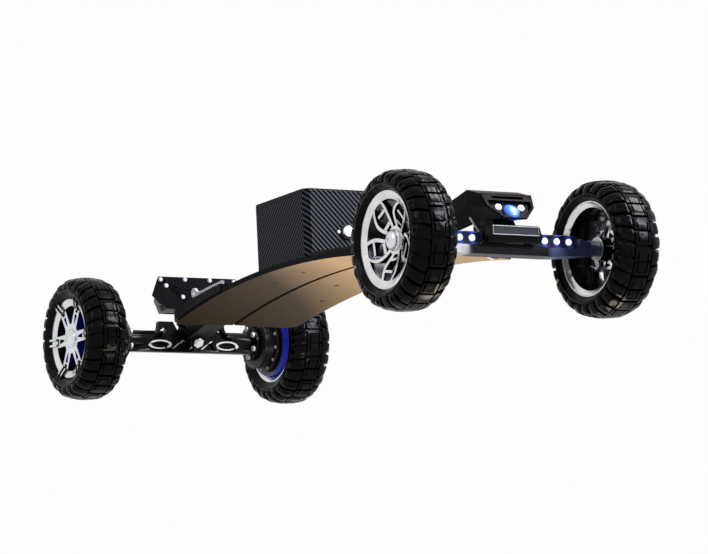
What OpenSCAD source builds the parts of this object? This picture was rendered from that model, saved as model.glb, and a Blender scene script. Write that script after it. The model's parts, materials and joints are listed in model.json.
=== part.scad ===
// Electric mountainboard: an arched deck on two sprung trucks, with four knobby
// tyres, a battery case on the deck and a geared motor inside each rear wheel.
// +X is forward, +Y is the rider's left, +Z is up, and z = 0 is the ground.

/* [Chassis] */
// Distance between the two axles
wheelbase = 984; // [900:2:1100]
// Middle plane to middle plane of the front tyres
front_track = 338; // [330:2:380]
// Middle plane to middle plane of the rear tyres
rear_track = 374; // [366:2:410]
// Angle of the steering pins above level
kingpin_rake = 35; // [30:1:40]
// Radius of the steering pins
kingpin_r = 6; // [5:0.5:7]
// Distance of a steering pin's middle inboard of its axle
kingpin_inset = 16; // [14:1:18]
// Height of a steering pin's middle above the axle
kingpin_rise = 10; // [8:1:12]

/* [Deck] */
// Thickness of the wooden deck
deck_t = 8; // [6:0.5:10]
// Drop of the deck's long edges below its middle
deck_camber = 4; // [1:0.5:6]
// Radius of the deck's corners
deck_corner_r = 26; // [15:1:40]
// Width of the deck at its middle
deck_w = 234; // [226:2:250]
// Sideways curve of the deck's long edges
deck_waist = 6; // [3:1:12]
// Radius of the deck's arch, measured to its underside
deck_arch_r = 1915; // [1700:5:2300]
// Height of the underside at the top of the arch
deck_crest_z = 136.8; // [133:0.2:142]
// Place of the arch's top ahead of the middle of the board
deck_crest_x = 26; // [10:2:40]
// Rear end of the deck behind the middle of the board
deck_rear = 328; // [310:2:340]
// Front end of the deck ahead of the middle of the board
deck_front = 350; // [330:2:360]
// Thickness of the front foot pad
pad_t = 6; // [4:0.5:8]
// Thickness of the rear foot pad at its front edge
rear_pad_t = 7; // [5:0.5:9]
// Radius of the rear pad's top, which is flatter than the deck
rear_pad_r = 2565; // [2300:5:2800]
// Overhang of the rear pad outside the deck
pad_lap = 4; // [2:0.5:6]

/* [Wheels] */
// Outer diameter of the tyres
tyre_d = 200; // [190:2:210]
// Width of the tyres over the shoulder lugs
tyre_w = 73; // [66:1:80]
// Depth of the tread grooves
tread_depth = 6; // [4:0.5:8]
// Number of lugs in each row of the tread
lug_count = 28; // [16:2:30]
// Wall of the tyres
tyre_wall = 5; // [4:0.5:7]
// Radius of a front rim's lip
front_lip_r = 69; // [66:1:72]
// Radius of a rear rim's lip
rear_lip_r = 64; // [62:0.5:68]
// Width of the rims over their lips
rim_w = 58; // [50:1:60]
// Wall of the rim barrels
rim_wall = 4; // [3:0.5:5]
// Number of paired spokes in a front rim
spoke_pairs = 5; // [4:1:6]
// Number of arms in a rear rim's star
star_arms = 6; // [5:1:7]

/* [Axles] */
// Radius of the steel axles
axle_r = 6; // [5:0.5:7]
// Outer radius of the wheel bearings
bearing_r = 14; // [13:0.5:15]
// Width of the wheel bearings
bearing_w = 8; // [6:0.5:9]

/* [Gear drive] */
// Module of the gears
gear_module = 2; // [1.8:0.1:2]
// Teeth of the sun gear on the motor
sun_teeth = 15; // [15:3:15]
// Teeth of each planet gear
planet_teeth = 15; // [15:3:15]
// Number of planet gears in a wheel
planet_count = 3; // [2:1:3]
// Width of the gear teeth
gear_w = 12; // [9:1:13]
// Free play cut from each tooth's flank
gear_play = 0.12; // [0.1:0.01:0.2]
// Radius of a motor housing
motor_r = 42; // [38:1:46]
// Length of a motor housing
motor_l = 26; // [22:1:30]

/* [Battery] */
// Length of the battery case
case_l = 162; // [140:2:180]
// Width of the battery case
case_w = 215; // [190:5:230]
// Height of the case's top above the ground
case_top_z = 246; // [220:2:270]
// Place of the case's middle ahead of the middle of the board
case_x = 31; // [10:1:40]
// Wall of the case
case_wall = 3; // [2:0.5:4]
// Width of the cut taken off the case's upright corners
case_corner = 9; // [4:1:12]
// Thickness of the lid
lid_t = 5; // [4:0.5:8]
// Radius of the power button
button_r = 9; // [7:0.5:11]
// Inward travel of the power button
button_travel = 1.5; // [1:0.1:2]

/* [Lamps and covers] */
// Width of the headlamp housing
lamp_w = 87; // [76:1:96]
// Width of the block under the headlamp
block_w = 80; // [70:1:90]
// Radius of the small lamps in the light bars
bar_lamp_r = 4.7; // [4:0.1:5.5]
// Width of the rear cover at its widest
cover_w = 170; // [150:2:180]
// Height of the rear cover's top above the ground
cover_top_z = 200; // [190:1:215]

/* [Hidden] */
$fn = 64;
gap = 0.3;
running = 0.05;
axle_x = wheelbase / 2;
axle_z = tyre_d / 2;

// Shared placing and shaping helpers
module both_sides() {
    children();
    mirror([0, 1, 0]) children();
}
// Puts a truck, drawn with its axle above x = 0 and its outer end towards +X, at one end
module at_end(end) {
    mirror([end < 0 ? 1 : 0, 0, 0]) translate([axle_x, 0, 0]) children();
}
// Turns a wheel, drawn about Z with its outer face up, to stand on the left at its track
module at_wheel(end, track) {
    at_end(end) translate([0, track / 2, axle_z]) rotate([-90, 0, 0]) children();
}
// Frame of a steering pin: origin at the pin's middle, Z along the pin, rising outwards
module at_kingpin() {
    translate([-kingpin_inset, 0, axle_z + kingpin_rise]) rotate([0, 90 - kingpin_rake, 0]) children();
}
module tube(r_out, r_in, h) {
    difference() {
        cylinder(r = r_out, h = h);
        translate([0, 0, -1]) cylinder(r = r_in, h = h + 2);
    }
}
// A side view outline in X and Z, given its width across the board
module side_extrude(w) {
    rotate([90, 0, 0]) linear_extrude(w, center = true) children();
}
// A solid through rings of points, all with the same count
module loft(rings) {
    n = len(rings[0]);
    m = len(rings);
    sides = [for (k = [0 : m - 2], i = [0 : n - 1])
        [k * n + i, k * n + (i + 1) % n, (k + 1) * n + (i + 1) % n, (k + 1) * n + i]];
    first = [[for (i = [n - 1 : -1 : 0]) i]];
    last = [[for (i = [0 : n - 1]) (m - 1) * n + i]];
    polyhedron([for (ring = rings, p = ring) p], concat(sides, first, last));
}
// A ring of points at one x from half an outline in Y and Z, lean is x lost for each mm of height
function mirror_ring(x, half, lean = 0) = let (n = len(half), z0 = half[n - 1][1]) concat(
    [for (p = half) [x - lean * (p[1] - z0), p[0], p[1]]],
    [for (i = [n - 1 : -1 : 0]) [x - lean * (half[i][1] - z0), -half[i][0], half[i][1]]]);

// Deck and pads
deck_half_l = (deck_front + deck_rear) / 2;
deck_mid_x = (deck_front - deck_rear) / 2;
function arch_z(x, t) = deck_crest_z - deck_arch_r + sqrt(pow(deck_arch_r + t, 2) - pow(x - deck_crest_x, 2));
function camber_at(y) = -deck_camber * pow(y / (deck_w / 2), 2);
function corner_cut(d) = d >= deck_corner_r ? 0 : deck_corner_r - sqrt(pow(deck_corner_r, 2) -
    pow(deck_corner_r - max(d, 0), 2));
function plan_y(x, lap) = deck_w / 2 + lap - deck_waist * pow((x - deck_mid_x) / deck_half_l, 2) -
    corner_cut(x + deck_rear + lap) - corner_cut(deck_front + lap - x);
// Plan outline of the deck from x0 to x1, grown by lap
module deck_plan(x0, x1, lap = 0) {
    near = [for (a = [15 : 15 : 75]) deck_corner_r * (1 - cos(a))];
    n = 12;
    mid0 = x0 + deck_corner_r;
    mid1 = x1 - deck_corner_r;
    xs = concat([x0], [for (d = near) x0 + d], [for (i = [0 : n]) mid0 + (mid1 - mid0) * i / n],
        [for (i = [len(near) - 1 : -1 : 0]) x1 - near[i]], [x1]);
    polygon(concat([for (x = xs) [x, -plan_y(x, lap)]],
        [for (i = [len(xs) - 1 : -1 : 0]) [xs[i], plan_y(xs[i], lap)]]));
}
// A layer of the arch from height t0 to t1 above the deck's underside, between y0 and y1
module arch_band(t0, t1, y0, y1, r = deck_arch_r, crest_z = deck_crest_z, steps = 8, x0 = -400, x1 = 420) {
    ys = [for (i = [0 : steps]) y0 + (y1 - y0) * i / steps];
    low = acos((x1 - deck_crest_x) / r);
    translate([deck_crest_x, 0, crest_z - r]) rotate([90, 0, 0]) rotate([0, 0, low])
        rotate_extrude(angle = acos((x0 - deck_crest_x) / r) - low, $fn = 720)
            polygon(concat([for (y = ys) [r + t1 + camber_at(y), -y]],
                [for (i = [steps : -1 : 0]) [r + t0 + camber_at(ys[i]), -ys[i]]]));
}
groove_w = 4;
groove_t = 1.2;
base_w = 88;
base_foot_l = 60;
base_foot_t = 6;
bolt_r = 3;
bolt_y = 30;
bolt_inset = [14, 44];
screw_r = 2;
screw_head_r = 4;
case_screw_x = 4;
pad_screw_x = -180;
pad_screw_y = 82;
case_screw_y = 54;
tray_screw_x = -84;
function end_x(end) = end > 0 ? deck_front : -deck_rear;
// Frame on the arch at height t above the deck's underside, with Z square to the surface
module on_arch(x, y, t) {
    translate([x, y, arch_z(x, t) + camber_at(y)]) rotate([0, asin((x - deck_crest_x) / deck_arch_r), 0]) children();
}
module at_deck_bolts() {
    for (end = [-1, 1], inset = bolt_inset, side = [-1, 1])
        let (x = end_x(end) - end * inset)
            on_arch(x, side * bolt_y, deck_t) children();
}
module at_deck_screws() {
    for (side = [-1, 1], p = [[case_screw_x, case_screw_y], [tray_screw_x, case_screw_y],
        [pad_screw_x, pad_screw_y]]) on_arch(p[0], side * p[1], 0) children();
}
module deck() {
    wide = deck_w / 2 + 5;
    color("peru") difference() {
        intersection() {
            arch_band(0, deck_t, -wide, wide);
            linear_extrude(300) deck_plan(-deck_rear, deck_front);
        }
        arch_band(-2, groove_t, -groove_w / 2, groove_w / 2, steps = 1);
        at_deck_bolts() translate([0, 0, -deck_t * 0.8]) cylinder(r = bolt_r + 0.1, h = deck_t);
        at_deck_screws() translate([0, 0, -2]) cylinder(r = screw_r + 0.1, h = deck_t + 6);
        at_deck_screws() translate([0, 0, -2]) cylinder(r = screw_head_r + 0.1, h = 3.2);
    }
}
front_pad_start = 128;
rear_pad_start = -148;
// Room in a foot pad for the foot of the truck base
module base_room(end) {
    translate([end_x(end) - end * (base_foot_l / 2 - 20), 0, 100])
        cube([base_foot_l + 42, base_w + 2, 200], center = true);
}
module front_pad() {
    wide = deck_w / 2 + 5;
    color([0.1, 0.1, 0.11]) difference() {
        intersection() {
            arch_band(deck_t + gap, deck_t + pad_t, -wide, wide);
            linear_extrude(300) deck_plan(front_pad_start, deck_front - 2, -3);
        }
        base_room(1);
    }
}
rear_pad_crest_z = arch_z(rear_pad_start, deck_t + rear_pad_t) +
    rear_pad_r - sqrt(pow(rear_pad_r, 2) - pow(rear_pad_start - deck_crest_x, 2));
function rear_pad_top(x) = rear_pad_crest_z - rear_pad_r + sqrt(pow(rear_pad_r, 2) - pow(x - deck_crest_x, 2));
module rear_pad() {
    wide = deck_w / 2 + pad_lap + 5;
    back = -deck_rear - pad_lap;
    color([0.16, 0.16, 0.18]) difference() {
        intersection() {
            arch_band(-60, 0, -wide, wide, rear_pad_r, rear_pad_crest_z);
            linear_extrude(300) deck_plan(back, rear_pad_start, pad_lap);
            arch_band(deck_t / 2, deck_t + 40, -wide, wide);
        }
        intersection() {
            arch_band(-2, deck_t + gap, -wide, wide);
            linear_extrude(300) deck_plan(-deck_rear - gap, rear_pad_start + 5, gap);
        }
        base_room(-1);
        at_deck_screws() cylinder(r = screw_r + 0.1, h = 14);
    }
}
// Low rail on each edge of the rear pad, with a strap eye at its rear end
rail_w = 5;
rail_h = 6;
rail_front_x = -152;
rail_rear_x = -236;
rail_y = 111;
eye_x = -247;
eye_z = rear_pad_top(eye_x) + camber_at(rail_y) + 9;
eye_r = 3.5;
eye_wall = 4;
module foot_rails() {
    color("white") both_sides() difference() {
        union() {
            arch_band(gap, rail_h, rail_y - rail_w / 2, rail_y + rail_w / 2, rear_pad_r, rear_pad_crest_z, 1,
                rail_rear_x, rail_front_x);
            translate([0, rail_y, 0]) side_extrude(rail_w) polygon(concat(
                [for (a = [20 : 20 : 280]) [eye_x, eye_z] + (eye_r + eye_wall) * [cos(a), sin(a)]],
                [for (x = [rail_rear_x + 1, rail_rear_x + 20]) [x, rear_pad_top(x) + camber_at(rail_y) + gap + 0.4]],
                [for (x = [rail_rear_x + 20, rail_rear_x + 8])
                    [x, rear_pad_top(x) + camber_at(rail_y) + rail_h - 0.1]]));
        }
        translate([eye_x, rail_y, eye_z]) rotate([90, 0, 0]) cylinder(r = eye_r, h = 20, center = true);
    }
}

// Battery case
case_front_x = case_x + case_l / 2;
case_foot_l = 46;
case_foot_t = 5;
button_y = -37;
button_z = 181;
status_y = -51;
status_r = 2.2;
// Plan outline of the case with its corners cut off, moved in by inset
module case_plan(inset) {
    x = case_l / 2 - inset;
    y = case_w / 2 - inset;
    cut = case_corner - 0.6 * inset;
    translate([case_x, 0]) polygon([[x, cut - y], [x, y - cut], [x - cut, y], [cut - x, y], [-x, y - cut],
        [-x, cut - y], [cut - x, -y], [x - cut, -y]]);
}
module case_block(inset, z_top) {
    translate([0, 0, 100]) linear_extrude(z_top - 100) case_plan(inset);
}
module deck_clearance(extra) {
    arch_band(-60, deck_t + extra, -deck_w / 2, deck_w / 2);
}
module battery_case() {
    color([0.12, 0.12, 0.13]) difference() {
        union() {
            case_block(0, case_top_z - lid_t - gap);
            translate([case_x - case_l / 2, 0, 100]) linear_extrude(deck_crest_z + deck_t + case_foot_t - 100)
                polygon([[5, case_w / 2 - 12], [-7, case_w / 2 - 12], [-11, case_w / 2 - 16], [-case_foot_l, 70],
                    [-case_foot_l, -70], [-11, 16 - case_w / 2], [-7, 12 - case_w / 2], [5, 12 - case_w / 2]]);
        }
        deck_clearance(gap);
        difference() {
            case_block(case_wall, case_top_z);
            deck_clearance(case_wall + 3);
        }
        at_deck_screws() cylinder(r = screw_r + 0.1, h = 20);
        translate([case_front_x - case_wall - 1, button_y, button_z]) rotate([0, 90, 0])
            cylinder(r = button_r - 1.5, h = case_wall + 2);
        translate([case_front_x - case_wall - 1, status_y, button_z]) rotate([0, 90, 0])
            cylinder(r = status_r + 0.1, h = case_wall + 2);
    }
}
module battery_lid() {
    lip = 2;
    color([0.14, 0.14, 0.15]) difference() {
        union() {
            translate([0, 0, case_top_z - lid_t]) linear_extrude(lid_t) case_plan(0);
            translate([0, 0, -4]) intersection() {
                case_block(case_wall + gap, case_top_z);
                translate([-400, -400, case_top_z - lid_t]) cube([900, 900, 5]);
            }
        }
        translate([0, 0, -lid_t]) intersection() {
            case_block(case_wall + gap + lip, case_top_z);
            translate([-400, -400, case_top_z - lid_t - 1]) cube([900, 900, lid_t + 1]);
        }
        for (s = [-1, 1]) translate([case_x + s * (case_l / 2), 0, case_top_z - 1.2]) rotate([0, 45, 0])
            cube([2, case_w + 2, 2], center = true);
        for (s = [-1, 1]) translate([case_x, s * (case_w / 2), case_top_z - 1.2]) rotate([45, 0, 0])
            cube([case_l + 2, 2, 2], center = true);
    }
}
cell_r = 10.5;
module battery_cells() {
    cols = floor((case_l - 2 * case_wall - 30) / (2 * cell_r + 1));
    rows = floor((case_w - 2 * case_wall - 8) / (2 * cell_r + 1));
    pitch = 2 * cell_r + 1;
    floor_z = deck_crest_z + deck_t + case_wall + 3.3;
    color([0.2, 0.35, 0.6]) {
        for (i = [0 : cols - 1], j = [0 : rows - 1])
            translate([case_x - 8 + (i - (cols - 1) / 2) * pitch, (j - (rows - 1) / 2) * pitch, floor_z + 2])
                cylinder(r = cell_r, h = 70, $fn = 24);
        translate([case_x - 8 - cols * pitch / 2, -rows * pitch / 2, floor_z]) cube([cols * pitch, rows * pitch, 3]);
    }
}
module button_bezel() {
    color([0.08, 0.08, 0.09]) translate([case_front_x + 0.1, button_y, button_z]) rotate([0, 90, 0])
        tube(button_r + 2.2, button_r + 0.4, 3);
}
// Silver cap with its stem through the case wall
module power_button() {
    color("silver") translate([case_front_x, button_y, button_z]) rotate([0, 90, 0]) {
        translate([0, 0, button_travel + gap]) cylinder(r = button_r, h = 3.4);
        translate([0, 0, -case_wall - 4]) cylinder(r = button_r - 2, h = case_wall + 6);
        translate([0, 0, -case_wall - 4]) cylinder(r = button_r, h = 2);
    }
}
module status_lamp() {
    color("white") translate([case_front_x - case_wall, status_y, button_z]) rotate([0, 90, 0])
        cylinder(r = status_r, h = case_wall + 1);
}

// Truck bases, steering pins and bolts
ear_r = 13;
ear_t = 10;
barrel_r = 15;
barrel_l = 18;
bushing_t = 6;
ear_s = barrel_l / 2 + bushing_t;
pin_x = -kingpin_inset;
pin_z = axle_z + kingpin_rise;
// A point in side view, s along the steering pin and p above it
function by_pin(s, p) = [pin_x + s * cos(kingpin_rake) - p * sin(kingpin_rake),
    pin_z + s * sin(kingpin_rake) + p * cos(kingpin_rake)];
yoke_low = barrel_r + 1.5;
yoke_t = 11;
yoke_w = 36;
yoke_end = ear_s + ear_t;
module base(end) {
    tip = end * end_x(end) - axle_x;
    tip_z = arch_z(end_x(end), deck_t);
    root_x = tip - base_foot_l / 2;
    root_z = arch_z(end * (axle_x + root_x), deck_t);
    top = yoke_low + yoke_t;
    difference() {
        union() {
            intersection() {
                arch_band(deck_t + 0.2, deck_t + base_foot_t, -base_w / 2, base_w / 2, steps = 2);
                translate([end_x(end) - end * base_foot_l / 2, 0, 100])
                    cube([base_foot_l, base_w + 10, 200], center = true);
            }
            at_end(end) side_extrude(yoke_w) polygon([[root_x, root_z + 3], [tip - 1, tip_z + 1.5],
                [tip + 50, tip_z + 4], by_pin(-yoke_end, 5), by_pin(-ear_s, 5), by_pin(-ear_s, yoke_low),
                by_pin(ear_s, yoke_low), by_pin(ear_s, 5), by_pin(yoke_end, 5), by_pin(yoke_end, top),
                by_pin(-yoke_end - 6, top), [tip + 8, tip_z + 13], [root_x, root_z + 5]]);
            at_end(end) at_kingpin() for (s = [-yoke_end, ear_s]) translate([0, 0, s]) cylinder(r = ear_r, h = ear_t);
        }
        at_end(end) at_kingpin() cylinder(r = kingpin_r + 0.1, h = 90, center = true);
        at_end(end) at_kingpin() for (s = [-yoke_end - 20, yoke_end]) translate([0, 0, s])
            cylinder(r = 10, h = 20);
        at_deck_bolts() translate([0, 0, -4]) cylinder(r = bolt_r + 0.1, h = 20);
    }
}
module front_base() {
    color([0.13, 0.13, 0.14]) base(1);
}
module rear_base() {
    color([0.13, 0.13, 0.14]) base(-1);
}
module kingpins() {
    color("gray") for (end = [-1, 1]) at_end(end) at_kingpin() {
        translate([0, 0, -yoke_end - 9]) cylinder(r = kingpin_r, h = 2 * yoke_end + 10);
        translate([0, 0, yoke_end + 0.1]) cylinder(r = 9, h = 5);
        translate([0, 0, -yoke_end - 7]) difference() {
            cylinder(r = 9.2, h = 6.8, $fn = 6);
            translate([0, 0, -1]) cylinder(r = kingpin_r + 0.1, h = 9);
        }
    }
}
module deck_bolts() {
    color("silver") at_deck_bolts() {
        translate([0, 0, -deck_t * 0.75]) cylinder(r = bolt_r, h = deck_t * 0.75 + base_foot_t);
        translate([0, 0, base_foot_t + 0.2]) cylinder(r = bolt_r * 1.8, h = 3.4);
    }
}

// Hangers, bushings and axles
boss_l = 16;
boss_r = 12;
front_stub_y = front_track / 2 - 14 - gap;
module pin_barrel() {
    at_kingpin() cylinder(r = barrel_r, h = barrel_l, center = true);
}
module pin_bore() {
    at_kingpin() cylinder(r = kingpin_r + running, h = barrel_l + 2, center = true);
}
module axle_bore() {
    translate([0, 0, axle_z]) rotate([90, 0, 0]) cylinder(r = axle_r + 0.1, h = 600, center = true);
}
beam_front = 13;
beam_back = -14;
beam_low = axle_z - 16;
beam_high = axle_z - 3;
// Bumper shaped front beam: its outline from ahead, cut to its outline from above
module front_hanger() {
    half_front = [[0, beam_low], [82, beam_low], [front_stub_y - 6, axle_z - 11], [front_stub_y - 6, axle_z + 5],
        [bar_out + 6, axle_z + 12], [bar_out + 1, beam_high], [60, beam_high], [40, beam_high + 3], [0, beam_high + 3]];
    half_plan = [[beam_back, 0], [beam_back, 60], [-9, front_stub_y], [9, front_stub_y], [beam_front, 86],
        [beam_front - 3, 66], [beam_front, 62], [beam_front, 0]];
    color([0.35, 0.36, 0.38]) at_end(1) difference() {
        union() {
            intersection() {
                rotate([90, 0, 90]) linear_extrude(60, center = true)
                    polygon(concat(half_front, [for (i = [len(half_front) - 2 : -1 : 1]) [-half_front[i][0],
                        half_front[i][1]]]));
                linear_extrude(300) polygon(concat(half_plan, [for (i = [len(half_plan) - 2 : -1 : 1])
                    [half_plan[i][0], -half_plan[i][1]]]));
            }
            both_sides() translate([0, front_stub_y, axle_z]) rotate([90, 0, 0])
                cylinder(r1 = boss_r - 1, r2 = boss_r, h = boss_l);
            pin_barrel();
            side_extrude(26) polygon([[beam_back, beam_low + 4], [beam_front - 2, beam_low + 4],
                [beam_front - 2, beam_high + 2], by_pin(8.5, -6), by_pin(-8.5, -6)]);
        }
        axle_bore();
        pin_bore();
        at_kingpin() for (s = [-1, 1]) translate([0, 0, s * (barrel_l / 2 + 15)])
            cylinder(r = ear_r + 1.5, h = 30, center = true);
    }
}
module rear_hanger() {
    tube_r = 17;
    flange_y = rear_track / 2 - 37 - motor_l - 2;
    plate_x = -tube_r - 1;
    plate_t = 10;
    sweep = [for (a = [0 : 15 : 90]) [flange_y - 4 - 58 * sin(a), axle_z + 30 - 46 * cos(a)]];
    half = concat([[0, axle_z - 21], [flange_y - 4, axle_z - 21]], sweep, [[34, axle_z + 30], [27, axle_z + 17],
        [0, axle_z + 17]]);
    outline = concat(half, [for (i = [len(half) - 2 : -1 : 1]) [-half[i][0], half[i][1]]]);
    color([0.2, 0.19, 0.18]) at_end(-1) difference() {
        union() {
            both_sides() translate([0, flange_y, axle_z]) rotate([90, 0, 0]) cylinder(r = tube_r, h = flange_y - 20);
            both_sides() translate([0, flange_y, axle_z]) rotate([90, 0, 0]) cylinder(r = 29, h = 6);
            translate([plate_x, 0, 0]) rotate([90, 0, 90]) linear_extrude(plate_t) polygon(outline);
            pin_barrel();
            side_extrude(44) polygon([[plate_x, axle_z - 20], [tube_r - 4, axle_z - 17], [tube_r, axle_z - 4],
                [tube_r - 5, axle_z + 4], by_pin(8.5, -6), by_pin(-8.5, -6), [plate_x, axle_z - 4]]);
        }
        axle_bore();
        pin_bore();
        at_kingpin() for (s = [-1, 1]) translate([0, 0, s * (barrel_l / 2 + 15)])
            cylinder(r = ear_r + 1.5, h = 30, center = true);
        both_sides() translate([plate_x - 1, 64, axle_z - 12]) rotate([90, 0, 90]) linear_extrude(5) hull()
            for (s = [-1, 1]) translate([s * 11, 0]) circle(6.5);
        both_sides() translate([plate_x - 1, 0, 0]) rotate([90, 0, 90]) linear_extrude(5)
            polygon([[8, axle_z - 17], [42, axle_z - 17], [36, axle_z - 5], [22, axle_z - 5]]);
        both_sides() translate([plate_x - 1, 0, 0]) rotate([90, 0, 90]) linear_extrude(plate_t + 2)
            polygon([[56, axle_z + 3], [80, axle_z - 1], [62, axle_z + 12], [48, axle_z + 22], [46, axle_z + 19]]);
        both_sides() for (a = [30 : 60 : 330]) translate([0, flange_y - 3, axle_z]) rotate([-90, 0, 0])
            rotate([0, 0, a]) translate([23, 0, -6]) cylinder(r = 2.6, h = 20);
    }
}
module bushings(end) {
    color([0.75, 0.45, 0.15]) at_end(end) at_kingpin() for (s = [-1, 1])
        mirror([0, 0, s < 0 ? 1 : 0]) translate([0, 0, barrel_l / 2]) difference() {
            cylinder(r1 = ear_r - 2.5, r2 = ear_r - 4, h = bushing_t - gap);
            translate([0, 0, -1]) cylinder(r = kingpin_r + running, h = bushing_t + 2);
        }
}
module front_bushings() {
    bushings(1);
}
module rear_bushings() {
    bushings(-1);
}
nut_t = 7;
washer_t = 1.2;
module axle_nut() {
    tube(axle_r + 2, axle_r + 0.1, washer_t);
    translate([0, 0, washer_t]) difference() {
        cylinder(r = axle_r * 1.75, h = nut_t, $fn = 6);
        translate([0, 0, -1]) cylinder(r = axle_r + 0.1, h = nut_t + 2);
    }
}
front_hub_w = 28;
rear_hub_in = -16;
rear_bearing_out = 10;
// Domed nut that covers the end of the front axle
module dome_nut() {
    difference() {
        rotate_extrude() polygon([[0, 0], [15.5, 0], [15.5, 2.5], [14, 4], [14, 6], [12.5, 8.4], [9, 10.3],
            [5, 11.3], [0, 11.6]]);
        translate([0, 0, -1]) cylinder(r = axle_r + 0.1, h = 1 + nut_t + gap);
        translate([0, 0, 9.4]) cylinder(r = 4, h = 4, $fn = 6);
    }
}
module front_axle() {
    length = front_track + front_hub_w + 2 * nut_t;
    color("silver") at_end(1) translate([0, 0, axle_z]) rotate([90, 0, 0])
        cylinder(r = axle_r, h = length, center = true);
}
module front_axle_nuts() {
    color("silver") both_sides() at_wheel(1, front_track) translate([0, 0, front_hub_w / 2 + 0.1]) dome_nut();
}
rear_axle_end = rear_track / 2 + rear_bearing_out + washer_t + nut_t + 1;
module rear_axle() {
    step_y = rear_track / 2 + rear_hub_in - gap;
    color("silver") at_end(-1) {
        translate([0, 0, axle_z]) rotate([90, 0, 0]) cylinder(r = axle_r, h = 2 * rear_axle_end, center = true);
        both_sides() translate([0, step_y, axle_z]) rotate([90, 0, 0]) tube(axle_r + 1, axle_r, 40);
    }
}
module rear_axle_nuts() {
    color("silver") both_sides() at_wheel(-1, rear_track) translate([0, 0, rear_bearing_out + gap]) axle_nut();
}

// Motors and gears
ring_teeth = sun_teeth + 2 * planet_teeth;
sun_pitch = gear_module * sun_teeth / 2;
planet_pitch = gear_module * planet_teeth / 2;
ring_pitch = gear_module * ring_teeth / 2;
planet_orbit = sun_pitch + planet_pitch;
pressure = 20;
addendum = 0.85 * gear_module;
dedendum = 1.15 * gear_module;
function involute_turn(r, base) = r <= base ? 0 : let (t = sqrt(pow(r / base, 2) - 1)) t * 180 / PI - atan(t);
// Half the angle of a tooth at radius r, for a tooth made thinner by play on each flank
function half_tooth(r, teeth, play) = let (pitch = gear_module * teeth / 2, base = pitch * cos(pressure))
    90 / teeth + involute_turn(pitch, base) - involute_turn(r, base) - play / pitch * 180 / PI;
// Outline of a gear with its first tooth at angle turn
function gear_outline(teeth, r_low, r_high, play, turn, steps = 4) = [for (k = [0 : teeth - 1])
    let (at = turn + 360 * k / teeth, flank = [for (i = [0 : steps]) r_low + (r_high - r_low) * i / steps])
        each concat([for (r = flank) polar(r, at - half_tooth(r, teeth, play))],
            [for (i = [steps : -1 : 0]) polar(flank[i], at + half_tooth(flank[i], teeth, play))])];
function polar(r, a) = [r * cos(a), r * sin(a)];
motor_face = -37;
gear_low = motor_face + 2.5;
function planet_angle(k) = 90 + k * 360 / planet_count;
// The sun's first tooth points at the first planet, whose gap there takes it
sun_turn = 90;
function planet_turn(k) = let (a = planet_angle(k)) a + 180 + 180 / planet_teeth
    - (a - sun_turn) * sun_teeth / planet_teeth;
ring_turn = 90 + (planet_teeth % 2 == 0 ? 180 / ring_teeth : 0);
post_r = 4;
flange_r = motor_r + 5.5;
module at_flange_bolts() {
    for (a = [15 : 30 : 345]) rotate([0, 0, a]) translate([motor_r + 1.5, 0, motor_face - 6]) children();
}
// Housing with two turned rings at its inboard edge, and the posts of the planets
module motor() {
    back = motor_face - motor_l;
    rotor_room = 24.5;
    color([0.09, 0.09, 0.1]) difference() {
        union() {
            translate([0, 0, back]) rotate_extrude() polygon([[axle_r + 2, 0], [motor_r - 5, 0], [motor_r - 3, 1.5],
                [motor_r, 1.5], [motor_r, 4.5], [motor_r - 2, 5], [motor_r - 2, 7], [motor_r, 7.5], [motor_r, 10],
                [motor_r - 2.5, 11.5], [motor_r - 2.5, motor_l - 6], [flange_r - 1, motor_l - 6],
                [flange_r, motor_l - 5], [flange_r, motor_l - 1], [flange_r - 1, motor_l],
                [rotor_room - 8, motor_l], [rotor_room - 8, motor_l - 4], [motor_r - 5, motor_l - 4],
                [motor_r - 5, 4], [axle_r + 2, 4]]);
            for (k = [0 : planet_count - 1]) rotate([0, 0, planet_angle(k)]) translate([planet_orbit, 0, 0]) {
                translate([0, 0, motor_face - 1]) cylinder(r = 6, h = gear_low - motor_face + 1 - gap);
                translate([0, 0, motor_face - 1]) cylinder(r = post_r, h = gear_low - motor_face + gear_w + 1.2);
            }
        }
        for (a = [30 : 60 : 330]) rotate([0, 0, a]) translate([23, 0, back - 1]) cylinder(r = 2.6, h = 8);
        at_flange_bolts() translate([0, 0, -1]) cylinder(r = 1.5, h = 6);
    }
}
module left_motor() {
    at_wheel(-1, rear_track) motor();
}
module right_motor() {
    mirror([0, 1, 0]) left_motor();
}
// Twelve wound poles around each rotor, on a ring
module stators() {
    back = motor_face - motor_l;
    color([0.55, 0.3, 0.15]) both_sides() at_wheel(-1, rear_track) translate([0, 0, back + 5]) {
        tube(motor_r - 5 - 0.1, motor_r - 9, motor_l - 10);
        for (a = [0 : 30 : 330]) rotate([0, 0, a]) translate([25.5, -2.5, 1]) cube([motor_r - 34, 5, motor_l - 12]);
    }
}
module motor_bolts() {
    flange_in = motor_face - motor_l - 8;
    color("white") both_sides() at_wheel(-1, rear_track) {
        for (a = [30 : 60 : 330]) rotate([0, 0, a]) translate([23, 0, flange_in - 4.2]) {
            cylinder(r = 4.4, h = 4);
            cylinder(r = 2.4, h = 13);
        }
        at_flange_bolts() {
            translate([0, 0, -1.7]) cylinder(r = 2.4, h = 1.6);
            translate([0, 0, -0.2]) cylinder(r = 1.4, h = 5);
        }
    }
}
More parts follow.
